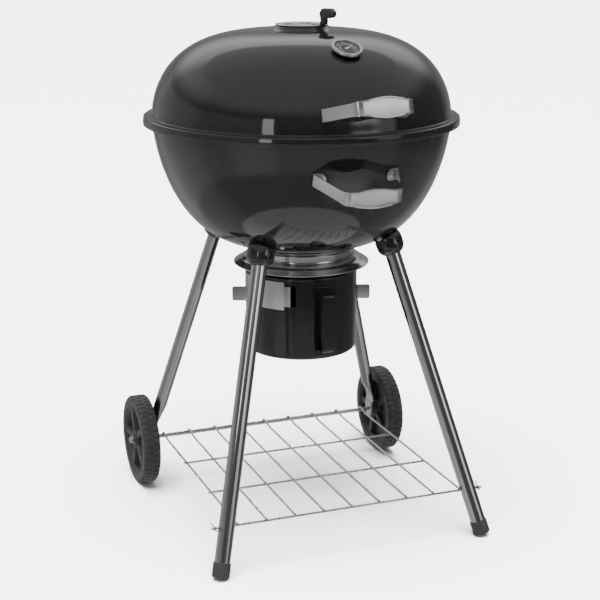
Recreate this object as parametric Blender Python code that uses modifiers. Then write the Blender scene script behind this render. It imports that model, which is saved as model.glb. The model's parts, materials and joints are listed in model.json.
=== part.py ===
"""Kettle charcoal grill: a lidded steel kettle on four splayed legs, two of them on wheels.

Frame: metres, +Z up, the origin on the floor below the middle of the whole grill.
The grill's front, where both handles are, faces -Y.  The axle runs along X at the rear.
"""
import math

import bmesh
import bpy
from mathutils import Matrix, Vector

# ---- driving dimensions -------------------------------------------------------------------
GAP = 0.0003               # clearance between pieces that touch
SHEET = 0.0010             # enamelled sheet of the kettle and of the ash parts
FACET = 0.0018             # how far a flat facet of the kettle lies inside its true round
SHELL_STEPS = 32           # facets round the kettle
ROUND_STEPS = 20           # facets round the small turned pieces

KETTLE_R = 0.274           # outside radius of the bowl at its rim
RIM_Z = 0.762              # height of the plane where lid and bowl meet
BOWL_DEPTH = 0.240
BOWL_POWERS = (3.65, 1.56)
LID_HEIGHT = 0.157
LID_POWERS = (3.48, 1.95)
BEAD_R = 0.0065            # rolled edge of the bowl
LIP_R = 0.290              # outside radius of the lid's skirt
LIP_HEIGHT = 0.0145
LID_TURN = math.radians(2.5)   # the loose lid sits a little off dead ahead

VENT_R = 0.0485            # lid damper
VENT_SEAT = 0.0060         # height of the flat boss that it turns on
VENT_HOLE_R = 0.0085
VENT_HOLE_AT = 0.027
VENT_RIVET_R = 0.0035
VENT_TAB_AT = math.radians(34)  # from the front towards +X
VENT_TAB_WIDTH = 0.015

DIAL_R = 0.0275            # thermometer case
DIAL_AT = 0.1884           # its distance from the lid's axis
DIAL_HEIGHT = 0.0100
STEM_R = 0.0030
STEM_LENGTH = 0.060

HANDLE_SPAN = 0.080        # half the distance between the two bends at the wall
HANDLE_GRIP = 0.049        # half the length of the grip
HANDLE_REACH = 0.084
HANDLE_STRIP = 0.0025
HANDLE_LEG_WIDTH = 0.0215
HANDLE_GRIP_WIDTH = 0.0355
HANDLE_FOOT = 0.024
LID_HANDLE_Z = RIM_Z + 0.037
BOWL_HANDLE_Z = RIM_Z - 0.069
BOLT_R = 0.0025
BOLT_HEAD_R = 0.0052

LEG_TOP = 0.1315           # X and Y of each leg where it enters its socket
LEG_TOP_Z = RIM_Z - 0.250
FRONT_FOOT = (0.2575, 0.2755)   # X and Y of the front feet, both measured outwards
FRONT_TUBE_R = 0.0142
REAR_TUBE_R = 0.0124
TUBE_WALL = 0.0012
SOCKET_R = 0.0255
SOCKET_REACH = 0.030       # how far the socket's middle lies up the leg from LEG_TOP_Z
SOCKET_BOLT_AT = 0.040     # bolt to socket middle, round the bowl
CAP_R = 0.0160
CAP_LENGTH = 0.026
CAP_FLOOR = 0.004          # thickness under the tube's end
CAP_FACET = 0.0014         # depth of the flat that the cap stands on

WHEEL_R = 0.089
WHEEL_WIDTH = 0.034
WHEEL_OUT = 0.281          # X of the outer face
AXLE_Y = 0.213
AXLE_R = 0.0040
LEG_END_X = 0.2385         # X of the flattened leg ends on the axle

RACK_SIDE = 0.0043         # between the outermost long wire's middle and the front tubes
RACK_WIRES = 9
RACK_CROSS = 3
RACK_WIRE_R = 0.0020
RACK_DROP = 0.0020         # how far the front of the rack lies below the axle

COLLAR_R = 0.0985
COLLAR_LENGTH = 0.062
COLLAR_FLANGE = 0.0165
BRIM_R = 0.1275
BRIM_Z = RIM_Z - 0.273     # lower edge of the brim
BRIM_RISE = 0.0150

BUCKET_R = 0.105
BUCKET_TOP = RIM_Z - 0.2845
BUCKET_BOTTOM = RIM_Z - 0.441
BUCKET_CORNER = 0.012
BUCKET_LOOP = 0.0330       # how far the carrying loop stands off
BUCKET_LOOP_WIDTH = 0.024
BUCKET_LOOP_HEIGHT = 0.117

SHUTTER_LOW = RIM_Z - 0.344
SHUTTER_HEIGHT = 0.0530
SHUTTER_SHEET = 0.0010
SHUTTER_STEP = 0.0020      # joggle of the tongue
SHUTTER_TONGUE = 0.038
SHUTTER_FROM = math.radians(-127.5)
SHUTTER_TO = math.radians(-197.0)
TONGUE_ARC = math.radians(5.8)
FIN_LOW = RIM_Z - 0.351
FIN_HEIGHT = 0.0280
FIN_REACH = 0.0250
SLOT_ARC = math.radians(7.4)
SLOT_PITCH = math.radians(-18.7)
SLOTS = 3
GUIDE_AT = math.radians(-160)
GUIDE_WIDTH = 0.012

GRATE_Z = RIM_Z - 0.027
GRATE_CLEAR = 0.0140       # between the cooking grate and the bowl
GRATE_R = KETTLE_R - GRATE_CLEAR
GRATE_PITCH = 0.020
COAL_Z = RIM_Z - 0.145
COAL_R = 0.2250
COAL_PITCH = 0.034
GRATE_WIRE_R = 0.0030
BAR_R = 0.0021
BRACKET_WIDTH = 0.020
ASH_HOLES = 8
ASH_HOLE_R = 0.011
ASH_HOLE_AT = 0.062

AXLE_Z = WHEEL_R


# ---- scene, materials and small helpers ----------------------------------------------------
for old in list(bpy.data.objects):
    bpy.data.objects.remove(old)

PARTS = bpy.data.collections.new("kettle_grill")
CUTTERS = bpy.data.collections.new("cutters")
bpy.context.scene.collection.children.link(PARTS)
bpy.context.scene.collection.children.link(CUTTERS)


def material(name, rgb, roughness, metallic):
    """A Principled material with one colour."""
    made = bpy.data.materials.new(name)
    made.use_nodes = True
    shader = made.node_tree.nodes["Principled BSDF"]
    shader.inputs["Base Color"].default_value = (*rgb, 1.0)
    shader.inputs["Roughness"].default_value = roughness
    shader.inputs["Metallic"].default_value = metallic
    return made


ENAMEL = material("black_enamel", (0.012, 0.012, 0.013), 0.12, 0.0)
STAINLESS = material("brushed_stainless", (0.62, 0.61, 0.60), 0.30, 1.0)
CHROME = material("chromed_tube", (0.55, 0.55, 0.56), 0.15, 1.0)
ZINC = material("zinc_steel", (0.60, 0.60, 0.60), 0.32, 1.0)
ALUMINIUM = material("aluminium", (0.70, 0.70, 0.70), 0.35, 1.0)
PLASTIC = material("black_plastic", (0.020, 0.020, 0.021), 0.45, 0.0)
SOCKET_BLACK = material("gloss_black", (0.010, 0.010, 0.011), 0.18, 0.0)
DIAL_GREY = material("dial_print", (0.16, 0.16, 0.17), 0.50, 0.0)
NEEDLE_WHITE = material("needle_paint", (0.80, 0.80, 0.78), 0.45, 0.0)
GLASS = material("dial_glass", (0.85, 0.88, 0.88), 0.05, 0.0)


def keep(thing, paint, parent=None, smooth=35.0):
    """Gives a finished piece its material, its shading and its place in the tree."""
    thing.data.materials.append(paint)
    if thing.type == "MESH":
        thing.data.shade_smooth()
        thing.data.set_sharp_from_angle(angle=math.radians(smooth))
    if parent is not None:
        thing.parent = parent
    return thing


def frame(name, at=(0.0, 0.0, 0.0), turn=0.0, parent=None):
    """An empty that carries the pieces of one moving body."""
    empty = bpy.data.objects.new(name, None)
    empty.location = at
    empty.rotation_euler = (0.0, 0.0, turn)
    empty.parent = parent
    PARTS.objects.link(empty)
    return empty


def along(at, direction):
    """The transform that turns local +Z to a direction and moves it to a point."""
    turn = Vector(direction).to_track_quat("Z", "Y").to_matrix().to_4x4()
    return Matrix.Translation(Vector(at)) @ turn


def mesh_object(name, mesh, where=PARTS, matrix=None):
    made = bpy.data.objects.new(name, mesh)
    if matrix is not None:
        made.matrix_world = matrix
    where.objects.link(made)
    if where is CUTTERS:
        made.hide_render = True
        made.display_type = "WIRE"
    return made


def lathe(name, profile, steps=ROUND_STEPS, where=PARTS, matrix=None, closed=False):
    """Turns a profile of (radius, height) points about local Z."""
    mesh = bpy.data.meshes.new(name)
    area = sum(a[0] * b[1] - b[0] * a[1] for a, b in zip(profile, profile[1:] + profile[:1]))
    points = [(r, 0.0, z) for r, z in (profile if area < 0 else profile[::-1])]
    edges = [(i, i + 1) for i in range(len(points) - 1)]
    if closed:
        edges.append((len(points) - 1, 0))
    mesh.from_pydata(points, edges, [])
    made = mesh_object(name, mesh, where, matrix)
    turn = made.modifiers.new("turn", "SCREW")
    turn.axis = "Z"
    turn.steps = steps
    turn.render_steps = steps
    turn.use_merge_vertices = True
    turn.merge_threshold = 0.00001
    return made


def rod(name, start, end, radius, steps=12, where=PARTS):
    """A plain round bar between two points."""
    start = Vector(start)
    end = Vector(end)
    length = (end - start).length
    work = bmesh.new()
    bmesh.ops.create_cone(work, cap_ends=True, segments=steps, radius1=radius,
                          radius2=radius, depth=length)
    mesh = bpy.data.meshes.new(name)
    work.to_mesh(mesh)
    work.free()
    return mesh_object(name, mesh, where, along((start + end) / 2, end - start))


def wire(name, points, radius, sides=2, cyclic=False, where=PARTS):
    """A bent wire with filled ends."""
    curve = bpy.data.curves.new(name, "CURVE")
    curve.dimensions = "3D"
    curve.bevel_depth = radius
    curve.bevel_resolution = sides
    curve.use_fill_caps = not cyclic
    spline = curve.splines.new("POLY")
    spline.points.add(len(points) - 1)
    for point, place in zip(spline.points, points):
        point.co = (*place, 1.0)
    spline.use_cyclic_u = cyclic
    made = bpy.data.objects.new(name, curve)
    where.objects.link(made)
    return made


def as_mesh(thing, where=PARTS):
    """Turns a curve or a modified object into a plain welded mesh object."""
    bpy.context.view_layer.update()
    depsgraph = bpy.context.evaluated_depsgraph_get()
    name = thing.name
    mesh = bpy.data.meshes.new_from_object(thing.evaluated_get(depsgraph))
    matrix = thing.matrix_world.copy()
    bpy.data.objects.remove(thing)
    work = bmesh.new()
    work.from_mesh(mesh)
    bmesh.ops.remove_doubles(work, verts=work.verts, dist=0.000005)
    bmesh.ops.recalc_face_normals(work, faces=work.faces)
    work.to_mesh(mesh)
    work.free()
    mesh.name = name
    return mesh_object(name, mesh, where, matrix)


def boolean(target, tool, operation="DIFFERENCE"):
    """Adds an exact Boolean with a tool that stays in the cutters' collection."""
    cut = target.modifiers.new(operation.lower(), "BOOLEAN")
    cut.operation = operation
    cut.solver = "EXACT"
    cut.object = tool
    return target


def strip(name, rows, thickness, paint, parent=None, matrix=None):
    """A bent sheet: each row is (edge point, other edge point), thickened by Solidify."""
    mesh = bpy.data.meshes.new(name)
    points = [p for row in rows for p in row]
    faces = [(2 * i, 2 * i + 1, 2 * i + 3, 2 * i + 2) for i in range(len(rows) - 1)]
    mesh.from_pydata([tuple(p) for p in points], [], faces)
    made = mesh_object(name, mesh, PARTS, matrix)
    thick = made.modifiers.new("sheet", "SOLIDIFY")
    thick.thickness = thickness
    thick.offset = 0.0
    thick.use_even_offset = True
    return keep(made, paint, parent)


def bend(corner, before, after, radius, count=4):
    """Points round a corner: a quadratic curve between its two tangent points."""
    corner = Vector(corner)
    start = corner + (Vector(before) - corner).normalized() * radius
    end = corner + (Vector(after) - corner).normalized() * radius
    points = []
    for i in range(count + 1):
        t = i / count
        points.append(start * (1 - t) ** 2 + corner * 2 * t * (1 - t) + end * t ** 2)
    return points


def rounded(corners, radius, count=4):
    """An open path through corners, each inner one rounded."""
    path = [Vector(corners[0])]
    for before, corner, after in zip(corners, corners[1:], corners[2:]):
        path += bend(corner, before, after, radius, count)
    return path + [Vector(corners[-1])]


# ---- the kettle's outline ------------------------------------------------------------------
def shell_radius(height, radius, rise, powers):
    """Radius of a flattened dome at a height above its open edge."""
    share = max(0.0, 1.0 - (height / rise) ** powers[1])
    return radius * share ** (1.0 / powers[0])


def dome(radius, rise, powers, count, first=0.0):
    """(radius, height) points of a dome from its axis to its open edge."""
    points = []
    for i in range(count + 1):
        angle = math.pi / 2 - (math.pi / 2 - first) * i / count
        r = radius * max(0.0, math.cos(angle)) ** (2.0 / powers[0])
        points.append((r if i else 0.0, rise * math.sin(angle) ** (2.0 / powers[1])))
    return points


def dome_normal(at, height, radius, rise, powers):
    """(outwards, upwards) parts of a dome's unit normal."""
    outwards = powers[0] / radius * (at / radius) ** (powers[0] - 1)
    upwards = powers[1] / rise * (height / rise) ** (powers[1] - 1)
    size = math.hypot(outwards, upwards)
    return outwards / size, upwards / size


def bowl_outside(z):
    return shell_radius(RIM_Z - z, KETTLE_R, BOWL_DEPTH, BOWL_POWERS)


def bowl_inside(z):
    return shell_radius(RIM_Z - z, KETTLE_R - SHEET, BOWL_DEPTH - SHEET, BOWL_POWERS)


def bowl_under(r):
    """Height of the bowl's outer face at a distance from its axis."""
    share = 1.0 - (r / KETTLE_R) ** BOWL_POWERS[0]
    return RIM_Z - BOWL_DEPTH * share ** (1.0 / BOWL_POWERS[1])


def lid_over(r):
    """Height of the lid's outer face at a distance from its axis."""
    share = 1.0 - (r / KETTLE_R) ** LID_POWERS[0]
    return RIM_Z + LID_HEIGHT * share ** (1.0 / LID_POWERS[1])


def lid_outside(z):
    return shell_radius(z - RIM_Z, KETTLE_R, LID_HEIGHT, LID_POWERS)


def bolt_cutters(name, places, radius, reach=0.012):
    """One cutter object holding a short bar at each (point, direction)."""
    work = bmesh.new()
    for at, direction in places:
        bmesh.ops.create_cone(work, cap_ends=True, segments=12, radius1=radius,
                              radius2=radius, depth=2 * reach, matrix=along(at, direction))
    mesh = bpy.data.meshes.new(name)
    work.to_mesh(mesh)
    work.free()
    return mesh_object(name, mesh, CUTTERS)


def wall_point(z, azimuth, radius_at):
    """A point on a turned wall; the azimuth runs from the front (-Y) towards +X."""
    r = radius_at(z)
    return Vector((r * math.sin(azimuth), -r * math.cos(azimuth), z))


def outward(azimuth, parts):
    return Vector((parts[0] * math.sin(azimuth), -parts[0] * math.cos(azimuth), parts[1]))


def screw(name, at, direction, stack, parent=None, head=BOLT_HEAD_R, shank=BOLT_R):
    """A domed bolt with its nut: the head outside, the nut behind a stack of sheets."""
    nut = stack + 0.0045
    profile = [(0.0, 0.0034), (head * 0.7, 0.0026), (head, GAP), (shank, GAP),
               (shank, -stack - GAP), (head * 0.85, -stack - GAP), (head * 0.85, -nut),
               (0.0, -nut)]
    made = lathe(name, profile, 8, matrix=along(at, direction))
    return keep(made, ZINC, parent)


# ---- handles -------------------------------------------------------------------------------
def handle_width(x):
    """Width of the grip: narrow at its ends, full in the middle."""
    share = min(1.0, abs(x) / HANDLE_GRIP)
    swell = 0.5 + 0.5 * math.cos(math.pi * share)
    return HANDLE_LEG_WIDTH + 0.0030 + (HANDLE_GRIP_WIDTH - HANDLE_LEG_WIDTH - 0.0030) * swell


def handle(name, z, wall, normal, parent=None):
    """A bent flat bar: foot, leg, swelling grip, leg, foot.  Returns it and its bolts' places."""
    lift = math.atan2(normal[1], normal[0])
    standoff = HANDLE_STRIP / 2 + 0.0008

    def wall_at(x):
        return math.sqrt(wall ** 2 - x ** 2) + standoff

    inner = HANDLE_SPAN - HANDLE_FOOT
    foot = [(x, wall_at(x)) for x in (inner, (inner + HANDLE_SPAN) / 2, HANDLE_SPAN - 0.001)]
    reach = wall_at(HANDLE_SPAN) + HANDLE_REACH
    right = [Vector((x, y, 0.0)) for x, y in foot[:2]]
    right += bend((*foot[2], 0.0), (*foot[1], 0.0), (HANDLE_GRIP, reach, 0.0), 0.0045, 3)
    right += bend((HANDLE_GRIP, reach, 0.0), (*foot[2], 0.0), (0.0, reach, 0.0), 0.011, 5)
    right += [Vector((x * HANDLE_GRIP, reach, 0.0)) for x in (0.62, 0.46, 0.30, 0.15, 0.0)]
    left = [Vector((-p.x, p.y, 0.0)) for p in reversed(right[:-1])]
    middle = Vector((0.0, 0.0, z))
    pivot = wall_at(HANDLE_SPAN)
    tilt = Matrix.Rotation(-lift, 3, "X")
    rows = []
    for point in right + left:
        on_grip = point.y > reach - 0.004
        half = (handle_width(point.x) if on_grip else HANDLE_LEG_WIDTH) / 2
        flat = Vector((point.x, -(point.y - pivot), 0.0))
        pair = [tilt @ (flat + Vector((0.0, 0.0, s * half))) for s in (1, -1)]
        rows.append([middle + p + Vector((0.0, -pivot, 0.0)) for p in pair])
    made = strip(name, rows, HANDLE_STRIP, STAINLESS, parent)
    azimuth = math.asin((inner + 0.0095) / wall)
    return made, azimuth


def handle_bolts(name, z, azimuth, radius_at, parts, parent=None):
    """The two bolts of a handle and the places to drill for them."""
    places = []
    for side, turn in (("left", -azimuth), ("right", azimuth)):
        direction = outward(turn, parts)
        at = wall_point(z, turn, radius_at)
        places.append((at, direction))
        top = HANDLE_STRIP + 0.0012
        screw(f"{name}_{side}", at + direction * top, direction, top + SHEET + FACET, parent)
    return places


# ---- lid -----------------------------------------------------------------------------------
LID = frame("lid_frame", turn=LID_TURN)
LID_TOP = RIM_Z + LID_HEIGHT + VENT_SEAT


def build_lid():
    """The lid's shell, with its vent seat, its skirt and all its holes."""
    seat_r = VENT_R + 0.002
    skirt_top = RIM_Z + 0.0032
    skirt_low = skirt_top - LIP_HEIGHT

    def outline(inset):
        radius = KETTLE_R - inset
        rise = LID_HEIGHT - inset
        top = LID_TOP - inset
        points = [(0.0, top), (seat_r - 0.003 - inset, top)]
        points.append((seat_r + 0.004 - inset, RIM_Z + rise - 0.0003))
        for r, height in dome(radius, rise, LID_POWERS, 10, 0.10):
            if r > seat_r + 0.010:
                points.append((r, RIM_Z + height))
        return points

    outer = outline(0.0)
    inner = outline(SHEET)
    outer += [(KETTLE_R + 0.0020, skirt_top + 0.0014), (LIP_R - 0.0030, skirt_top + 0.0002),
              (LIP_R - 0.0006, skirt_top - 0.0008), (LIP_R, skirt_top - 0.0028),
              (LIP_R, skirt_low)]
    inner += [(KETTLE_R - 0.0002, RIM_Z + 0.0026), (LIP_R - SHEET, skirt_top - SHEET - 0.0001),
              (LIP_R - SHEET, skirt_low)]
    shell = lathe("lid_shell", outer + inner[::-1], SHELL_STEPS)
    return shell


def build_lid_fittings(shell):
    lid_normal = dome_normal(lid_outside(LID_HANDLE_Z), LID_HANDLE_Z - RIM_Z, KETTLE_R,
                             LID_HEIGHT, LID_POWERS)
    _, azimuth = handle("lid_handle", LID_HANDLE_Z, lid_outside(LID_HANDLE_Z), lid_normal, LID)
    drills = handle_bolts("lid_handle_bolt", LID_HANDLE_Z, azimuth, lid_outside, lid_normal, LID)
    boolean(shell, bolt_cutters("lid_bolt_holes", drills, BOLT_R + GAP))
    boolean(bpy.data.objects["lid_handle"], bpy.data.objects["lid_bolt_holes"])
    bpy.data.objects["lid_bolt_holes"].parent = LID


def build_vent(shell):
    """The lid damper: a dished disc with four holes, its rivet and its grip."""
    low = LID_TOP + GAP
    disc = lathe("lid_vent_disc", [
        (VENT_RIVET_R + GAP, low + 0.0012), (VENT_R - 0.004, low + 0.0012),
        (VENT_R - 0.0005, low + 0.0022), (VENT_R, low + 0.0012),
        (VENT_R - 0.002, low), (VENT_RIVET_R + GAP, low)], 28, closed=True)
    holes = []
    for i in range(4):
        turn = math.radians(45 + 90 * i)
        at = (VENT_HOLE_AT * math.sin(turn), -VENT_HOLE_AT * math.cos(turn), low)
        holes.append((at, (0.0, 0.0, 1.0)))
    cutter = bolt_cutters("vent_holes", holes, VENT_HOLE_R)
    boolean(disc, cutter)
    boolean(shell, cutter)
    cutter.parent = LID
    keep(disc, ALUMINIUM, VENT)
    rivet_hole = bolt_cutters("vent_rivet_hole", [((0.0, 0.0, low), (0.0, 0.0, 1.0))],
                              VENT_RIVET_R + GAP)
    boolean(shell, rivet_hole)
    top = low + 0.0012 + GAP
    under = LID_TOP - SHEET - GAP
    keep(lathe("lid_vent_rivet", [
        (0.0, top + 0.0030), (0.0045, top + 0.0022), (0.0070, top), (VENT_RIVET_R, top),
        (VENT_RIVET_R, under), (0.0060, under), (0.0055, under - 0.0016), (0.0, under - 0.0016)],
        16), ZINC, LID)
    grip = [(0.0415, 0.0), (0.0500, 0.0), (0.0520, 0.0058), (0.0500, 0.0088), (0.0555, 0.0128),
            (0.0640, 0.0115), (0.0690, 0.0155), (0.0695, 0.0225), (0.0640, 0.0285),
            (0.0455, 0.0285), (0.0405, 0.0200), (0.0430, 0.0120), (0.0435, 0.0065)]
    outline = bpy.data.curves.new("lid_vent_tab", "CURVE")
    outline.dimensions = "2D"
    outline.fill_mode = "BOTH"
    outline.extrude = VENT_TAB_WIDTH / 2
    spline = outline.splines.new("POLY")
    spline.points.add(len(grip) - 1)
    for point, (r, z) in zip(spline.points, grip):
        point.co = (r, z, 0.0, 1.0)
    spline.use_cyclic_u = True
    tab = bpy.data.objects.new("lid_vent_tab", outline)
    upright = Matrix.Rotation(math.pi / 2, 4, "X")
    turn = Matrix.Rotation(VENT_TAB_AT - math.pi / 2, 4, "Z")
    tab.matrix_world = Matrix.Translation((0.0, 0.0, low + 0.0026 + GAP)) @ turn @ upright
    PARTS.objects.link(tab)
    keep(tab, PLASTIC, VENT)


def build_thermometer(shell):
    """A dial thermometer: case, printed dial, needle, glass, stem and nut."""
    over = lid_over(DIAL_AT) - RIM_Z
    parts = dome_normal(DIAL_AT, over, KETTLE_R, LID_HEIGHT, LID_POWERS)
    at = Vector((0.0, -DIAL_AT, RIM_Z + over))
    direction = outward(0.0, parts)
    place = along(at, direction)
    low = 0.0010
    floor = DIAL_HEIGHT - 0.0050
    bore = DIAL_R - 0.0055
    case = [(0.0, floor), (bore, floor), (bore, DIAL_HEIGHT - 0.0016),
            (bore - 0.0012, DIAL_HEIGHT - 0.0014), (bore - 0.0012, DIAL_HEIGHT - 0.0006),
            (bore + 0.0010, DIAL_HEIGHT), (DIAL_R - 0.0018, DIAL_HEIGHT),
            (DIAL_R, DIAL_HEIGHT - 0.0018), (DIAL_R, low + 0.004), (DIAL_R - 0.005, low),
            (0.0, low)]
    keep(lathe("thermometer_case", case, 32, matrix=place), STAINLESS, LID)
    inside = bore - GAP
    dial = [(0.0, floor + 0.0010), (inside, floor + 0.0010), (inside, floor + GAP),
            (0.0, floor + GAP)]
    keep(lathe("thermometer_dial", dial, 32, matrix=place), DIAL_GREY, LID)
    pane = DIAL_HEIGHT - 0.0028
    glass = [(0.0, pane + 0.0009), (inside, pane + 0.0009), (inside, pane), (0.0, pane)]
    keep(lathe("thermometer_glass", glass, 32, matrix=place), GLASS, LID)
    hole = bolt_cutters("thermometer_hole", [(at, direction)], STEM_R + 2 * GAP)
    boolean(shell, hole)
    hole.parent = LID
    stem = [(0.0, low - GAP), (STEM_R, low - GAP), (STEM_R, -STEM_LENGTH + 0.004),
            (0.0, -STEM_LENGTH)]
    keep(lathe("thermometer_stem", stem, 12, matrix=place), STAINLESS, LID)
    bore = (STEM_R + GAP) / math.cos(math.pi / 6)
    under = -SHEET - FACET
    nut = [(bore, under), (0.0080, under), (0.0080, under - 0.0050), (bore, under - 0.0050)]
    keep(lathe("thermometer_nut", nut, 6, matrix=place, closed=True), ZINC, LID)
    needle_low = floor + 0.0010 + GAP
    needle_top = pane - GAP
    half = 0.0011
    tip = bore - 0.005
    length = [(0.0, half * 1.6), (tip * 0.9, half * 0.6), (tip, 0.0), (tip * 0.9, -half * 0.6),
              (0.0, -half * 1.6), (-0.006, -half), (-0.006, half)]
    outline = bpy.data.curves.new("thermometer_needle", "CURVE")
    outline.dimensions = "2D"
    outline.fill_mode = "BOTH"
    outline.extrude = (needle_top - needle_low) / 2
    spline = outline.splines.new("POLY")
    spline.points.add(len(length) - 1)
    for point, (x, y) in zip(spline.points, length):
        point.co = (x, y, 0.0, 1.0)
    spline.use_cyclic_u = True
    needle = bpy.data.objects.new("thermometer_needle", outline)
    rise = Matrix.Translation((0.0, 0.0, (needle_low + needle_top) / 2))
    needle.matrix_world = place @ rise @ Matrix.Rotation(math.radians(215), 4, "Z")
    PARTS.objects.link(needle)
    keep(needle, NEEDLE_WHITE, LID)


# ---- bowl ----------------------------------------------------------------------------------
def build_bowl():
    """The bowl's shell with its rolled edge."""
    edge = RIM_Z - 0.0055
    middle = KETTLE_R + 0.0060
    inner = [(r, RIM_Z - height) for r, height in
             dome(KETTLE_R - SHEET, BOWL_DEPTH - SHEET, BOWL_POWERS, 9, 0.12)]
    outer = [(r, RIM_Z - height) for r, height in
             dome(KETTLE_R, BOWL_DEPTH, BOWL_POWERS, 9, 0.16)]
    bead = []
    for angle in (170, 110, 60, 10, -40, -90, -150):
        turn = math.radians(angle)
        bead.append((middle + BEAD_R * math.cos(turn), edge + BEAD_R * math.sin(turn)))
    return lathe("bowl_shell", inner + bead + outer[::-1], SHELL_STEPS)


def build_bowl_holes(shell, drills):
    """Drills the bowl for its bolts and for the ash."""
    boolean(shell, bolt_cutters("bowl_bolt_holes", drills, BOLT_R + GAP))
    low = RIM_Z - BOWL_DEPTH
    places = [((0.0, 0.0, low), (0.0, 0.0, 1.0))]
    for i in range(ASH_HOLES):
        turn = 2 * math.pi * i / ASH_HOLES
        places.append(((ASH_HOLE_AT * math.cos(turn), ASH_HOLE_AT * math.sin(turn), low),
                       (0.0, 0.0, 1.0)))
    boolean(shell, bolt_cutters("ash_holes", places, ASH_HOLE_R))


def build_brackets():
    """Four angle brackets inside the bowl, which the cooking grate rests on."""
    shelf = GRATE_Z - GRATE_WIRE_R - GAP - SHEET / 2
    flange = bowl_inside(shelf - 0.020) - FACET - SHEET / 2 - GAP
    for i in range(4):
        turn = math.radians(45 + 90 * i)
        path = rounded([(flange, shelf - 0.019, 0.0), (flange, shelf, 0.0),
                        (flange - 0.022, shelf, 0.0)], 0.003, 3)
        side = Vector((-math.sin(turn), math.cos(turn), 0.0)) * BRACKET_WIDTH / 2
        rows = []
        for point in path:
            at = Vector((point.x * math.cos(turn), point.x * math.sin(turn), point.y))
            rows.append((at - side, at + side))
        strip(f"grate_bracket_{i + 1}", rows, SHEET, STAINLESS)


# ---- grates --------------------------------------------------------------------------------
def build_grate(name, radius, z, pitch, wire_r):
    """A ring with straight bars across it and one stiffener, all welded into one piece."""
    steps = SHELL_STEPS
    turns = [2 * math.pi * i / steps for i in range(steps)]
    ring = [(radius * math.cos(turn), radius * math.sin(turn), z) for turn in turns]
    grate = as_mesh(wire(name, ring, wire_r, 1, cyclic=True))
    count = int(radius / pitch)
    work = bmesh.new()
    for i in range(-count, count + 1):
        x = i * pitch
        half = math.sqrt(radius ** 2 - x ** 2)
        if half < pitch:
            continue
        bmesh.ops.create_cone(work, cap_ends=True, segments=6, radius1=BAR_R, radius2=BAR_R,
                              depth=2 * half, matrix=along((x, 0.0, z), (0.0, 1.0, 0.0)))
    mesh = bpy.data.meshes.new(name + "_bars")
    work.to_mesh(mesh)
    work.free()
    bars = mesh_object(name + "_bars", mesh, CUTTERS)
    boolean(grate, bars, "UNION")
    cross = rod(name + "_cross", (-radius, 0.0, z - BAR_R), (radius, 0.0, z - BAR_R), BAR_R, 6,
                CUTTERS)
    boolean(grate, cross, "UNION")
    return keep(grate, CHROME)


# ---- legs, sockets and feet ----------------------------------------------------------------
def leg_line(side, end):
    """Top point and downward unit direction of a leg; side and end are -1 or 1."""
    top = Vector((side * LEG_TOP, end * LEG_TOP, LEG_TOP_Z))
    if end < 0:
        foot = Vector((side * FRONT_FOOT[0], -FRONT_FOOT[1], 0.0))
    else:
        foot = Vector((side * LEG_END_X, AXLE_Y - 0.006, AXLE_Z + 0.030))
    return top, (foot - top).normalized()


def build_socket(name, side, end, radius):
    """A rounded cup under the bowl that holds one leg; its top is cut to the bowl."""
    top, down = leg_line(side, end)
    work = bmesh.new()
    bmesh.ops.create_uvsphere(work, u_segments=16, v_segments=8, radius=SOCKET_R)
    mesh = bpy.data.meshes.new(name)
    work.to_mesh(mesh)
    work.free()
    cup = mesh_object(name, mesh, PARTS, along(top - down * SOCKET_REACH, -down))
    boolean(cup, bpy.data.objects["bowl_form"])
    bore = rod(name + "_bore", top + down * 0.03, top - down * SOCKET_REACH * 0.80,
               radius + GAP, 24, CUTTERS)
    boolean(cup, bore)
    return keep(cup, SOCKET_BLACK, smooth=50.0)


def build_socket_bolts(side, end, name):
    """Two bolts through the bowl, one each side of a socket."""
    top, down = leg_line(side, end)
    middle = top - down * SOCKET_REACH
    r = math.hypot(middle.x, middle.y)
    azimuth = math.atan2(middle.x, -middle.y)
    step = SOCKET_BOLT_AT / r
    places = []
    for which, turn in (("a", azimuth - step), ("b", azimuth + step)):
        depth = RIM_Z - bowl_under(r)
        parts = dome_normal(r, depth, KETTLE_R, BOWL_DEPTH, BOWL_POWERS)
        direction = outward(turn, (parts[0], -parts[1]))
        at = wall_point(bowl_under(r), turn, lambda z: r)
        places.append((at, direction))
        screw(f"socket_bolt_{name}_{which}", at + direction * 0.0006, direction,
              SHEET + 2 * FACET)
    return places


def build_front_leg(name, side):
    """A straight tube from its socket to its foot cap, drilled for the rack's wire."""
    top, down = leg_line(side, -1)
    lean = math.acos(-down.z)
    sole_z = CAP_R * math.sin(lean) - CAP_FACET
    sole = top + down * ((LEG_TOP_Z - sole_z) / -down.z)
    start = top - down * SOCKET_REACH * 0.75
    end = sole - down * (CAP_FLOOR + GAP)
    length = (end - start).length
    outer = FRONT_TUBE_R
    bore = outer - TUBE_WALL
    leg = lathe(name, [(bore, length), (outer, length), (outer, 0.0), (bore, 0.0)],
                matrix=along(start, down), closed=True)
    boolean(leg, bpy.data.objects["rack_pin_holes"])
    keep(leg, CHROME)
    cap = lathe(f"leg_cap_{name[4:]}", [
        (0.0, CAP_FLOOR), (outer + GAP, CAP_FLOOR), (outer + GAP, CAP_LENGTH),
        (CAP_R - 0.0004, CAP_LENGTH), (CAP_R, CAP_LENGTH - 0.001), (CAP_R, 0.0012),
        (CAP_R - 0.0012, 0.0), (0.0, 0.0)], matrix=along(sole, -down))
    boolean(cap, bpy.data.objects["floor_cut"])
    keep(cap, PLASTIC)


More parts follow.
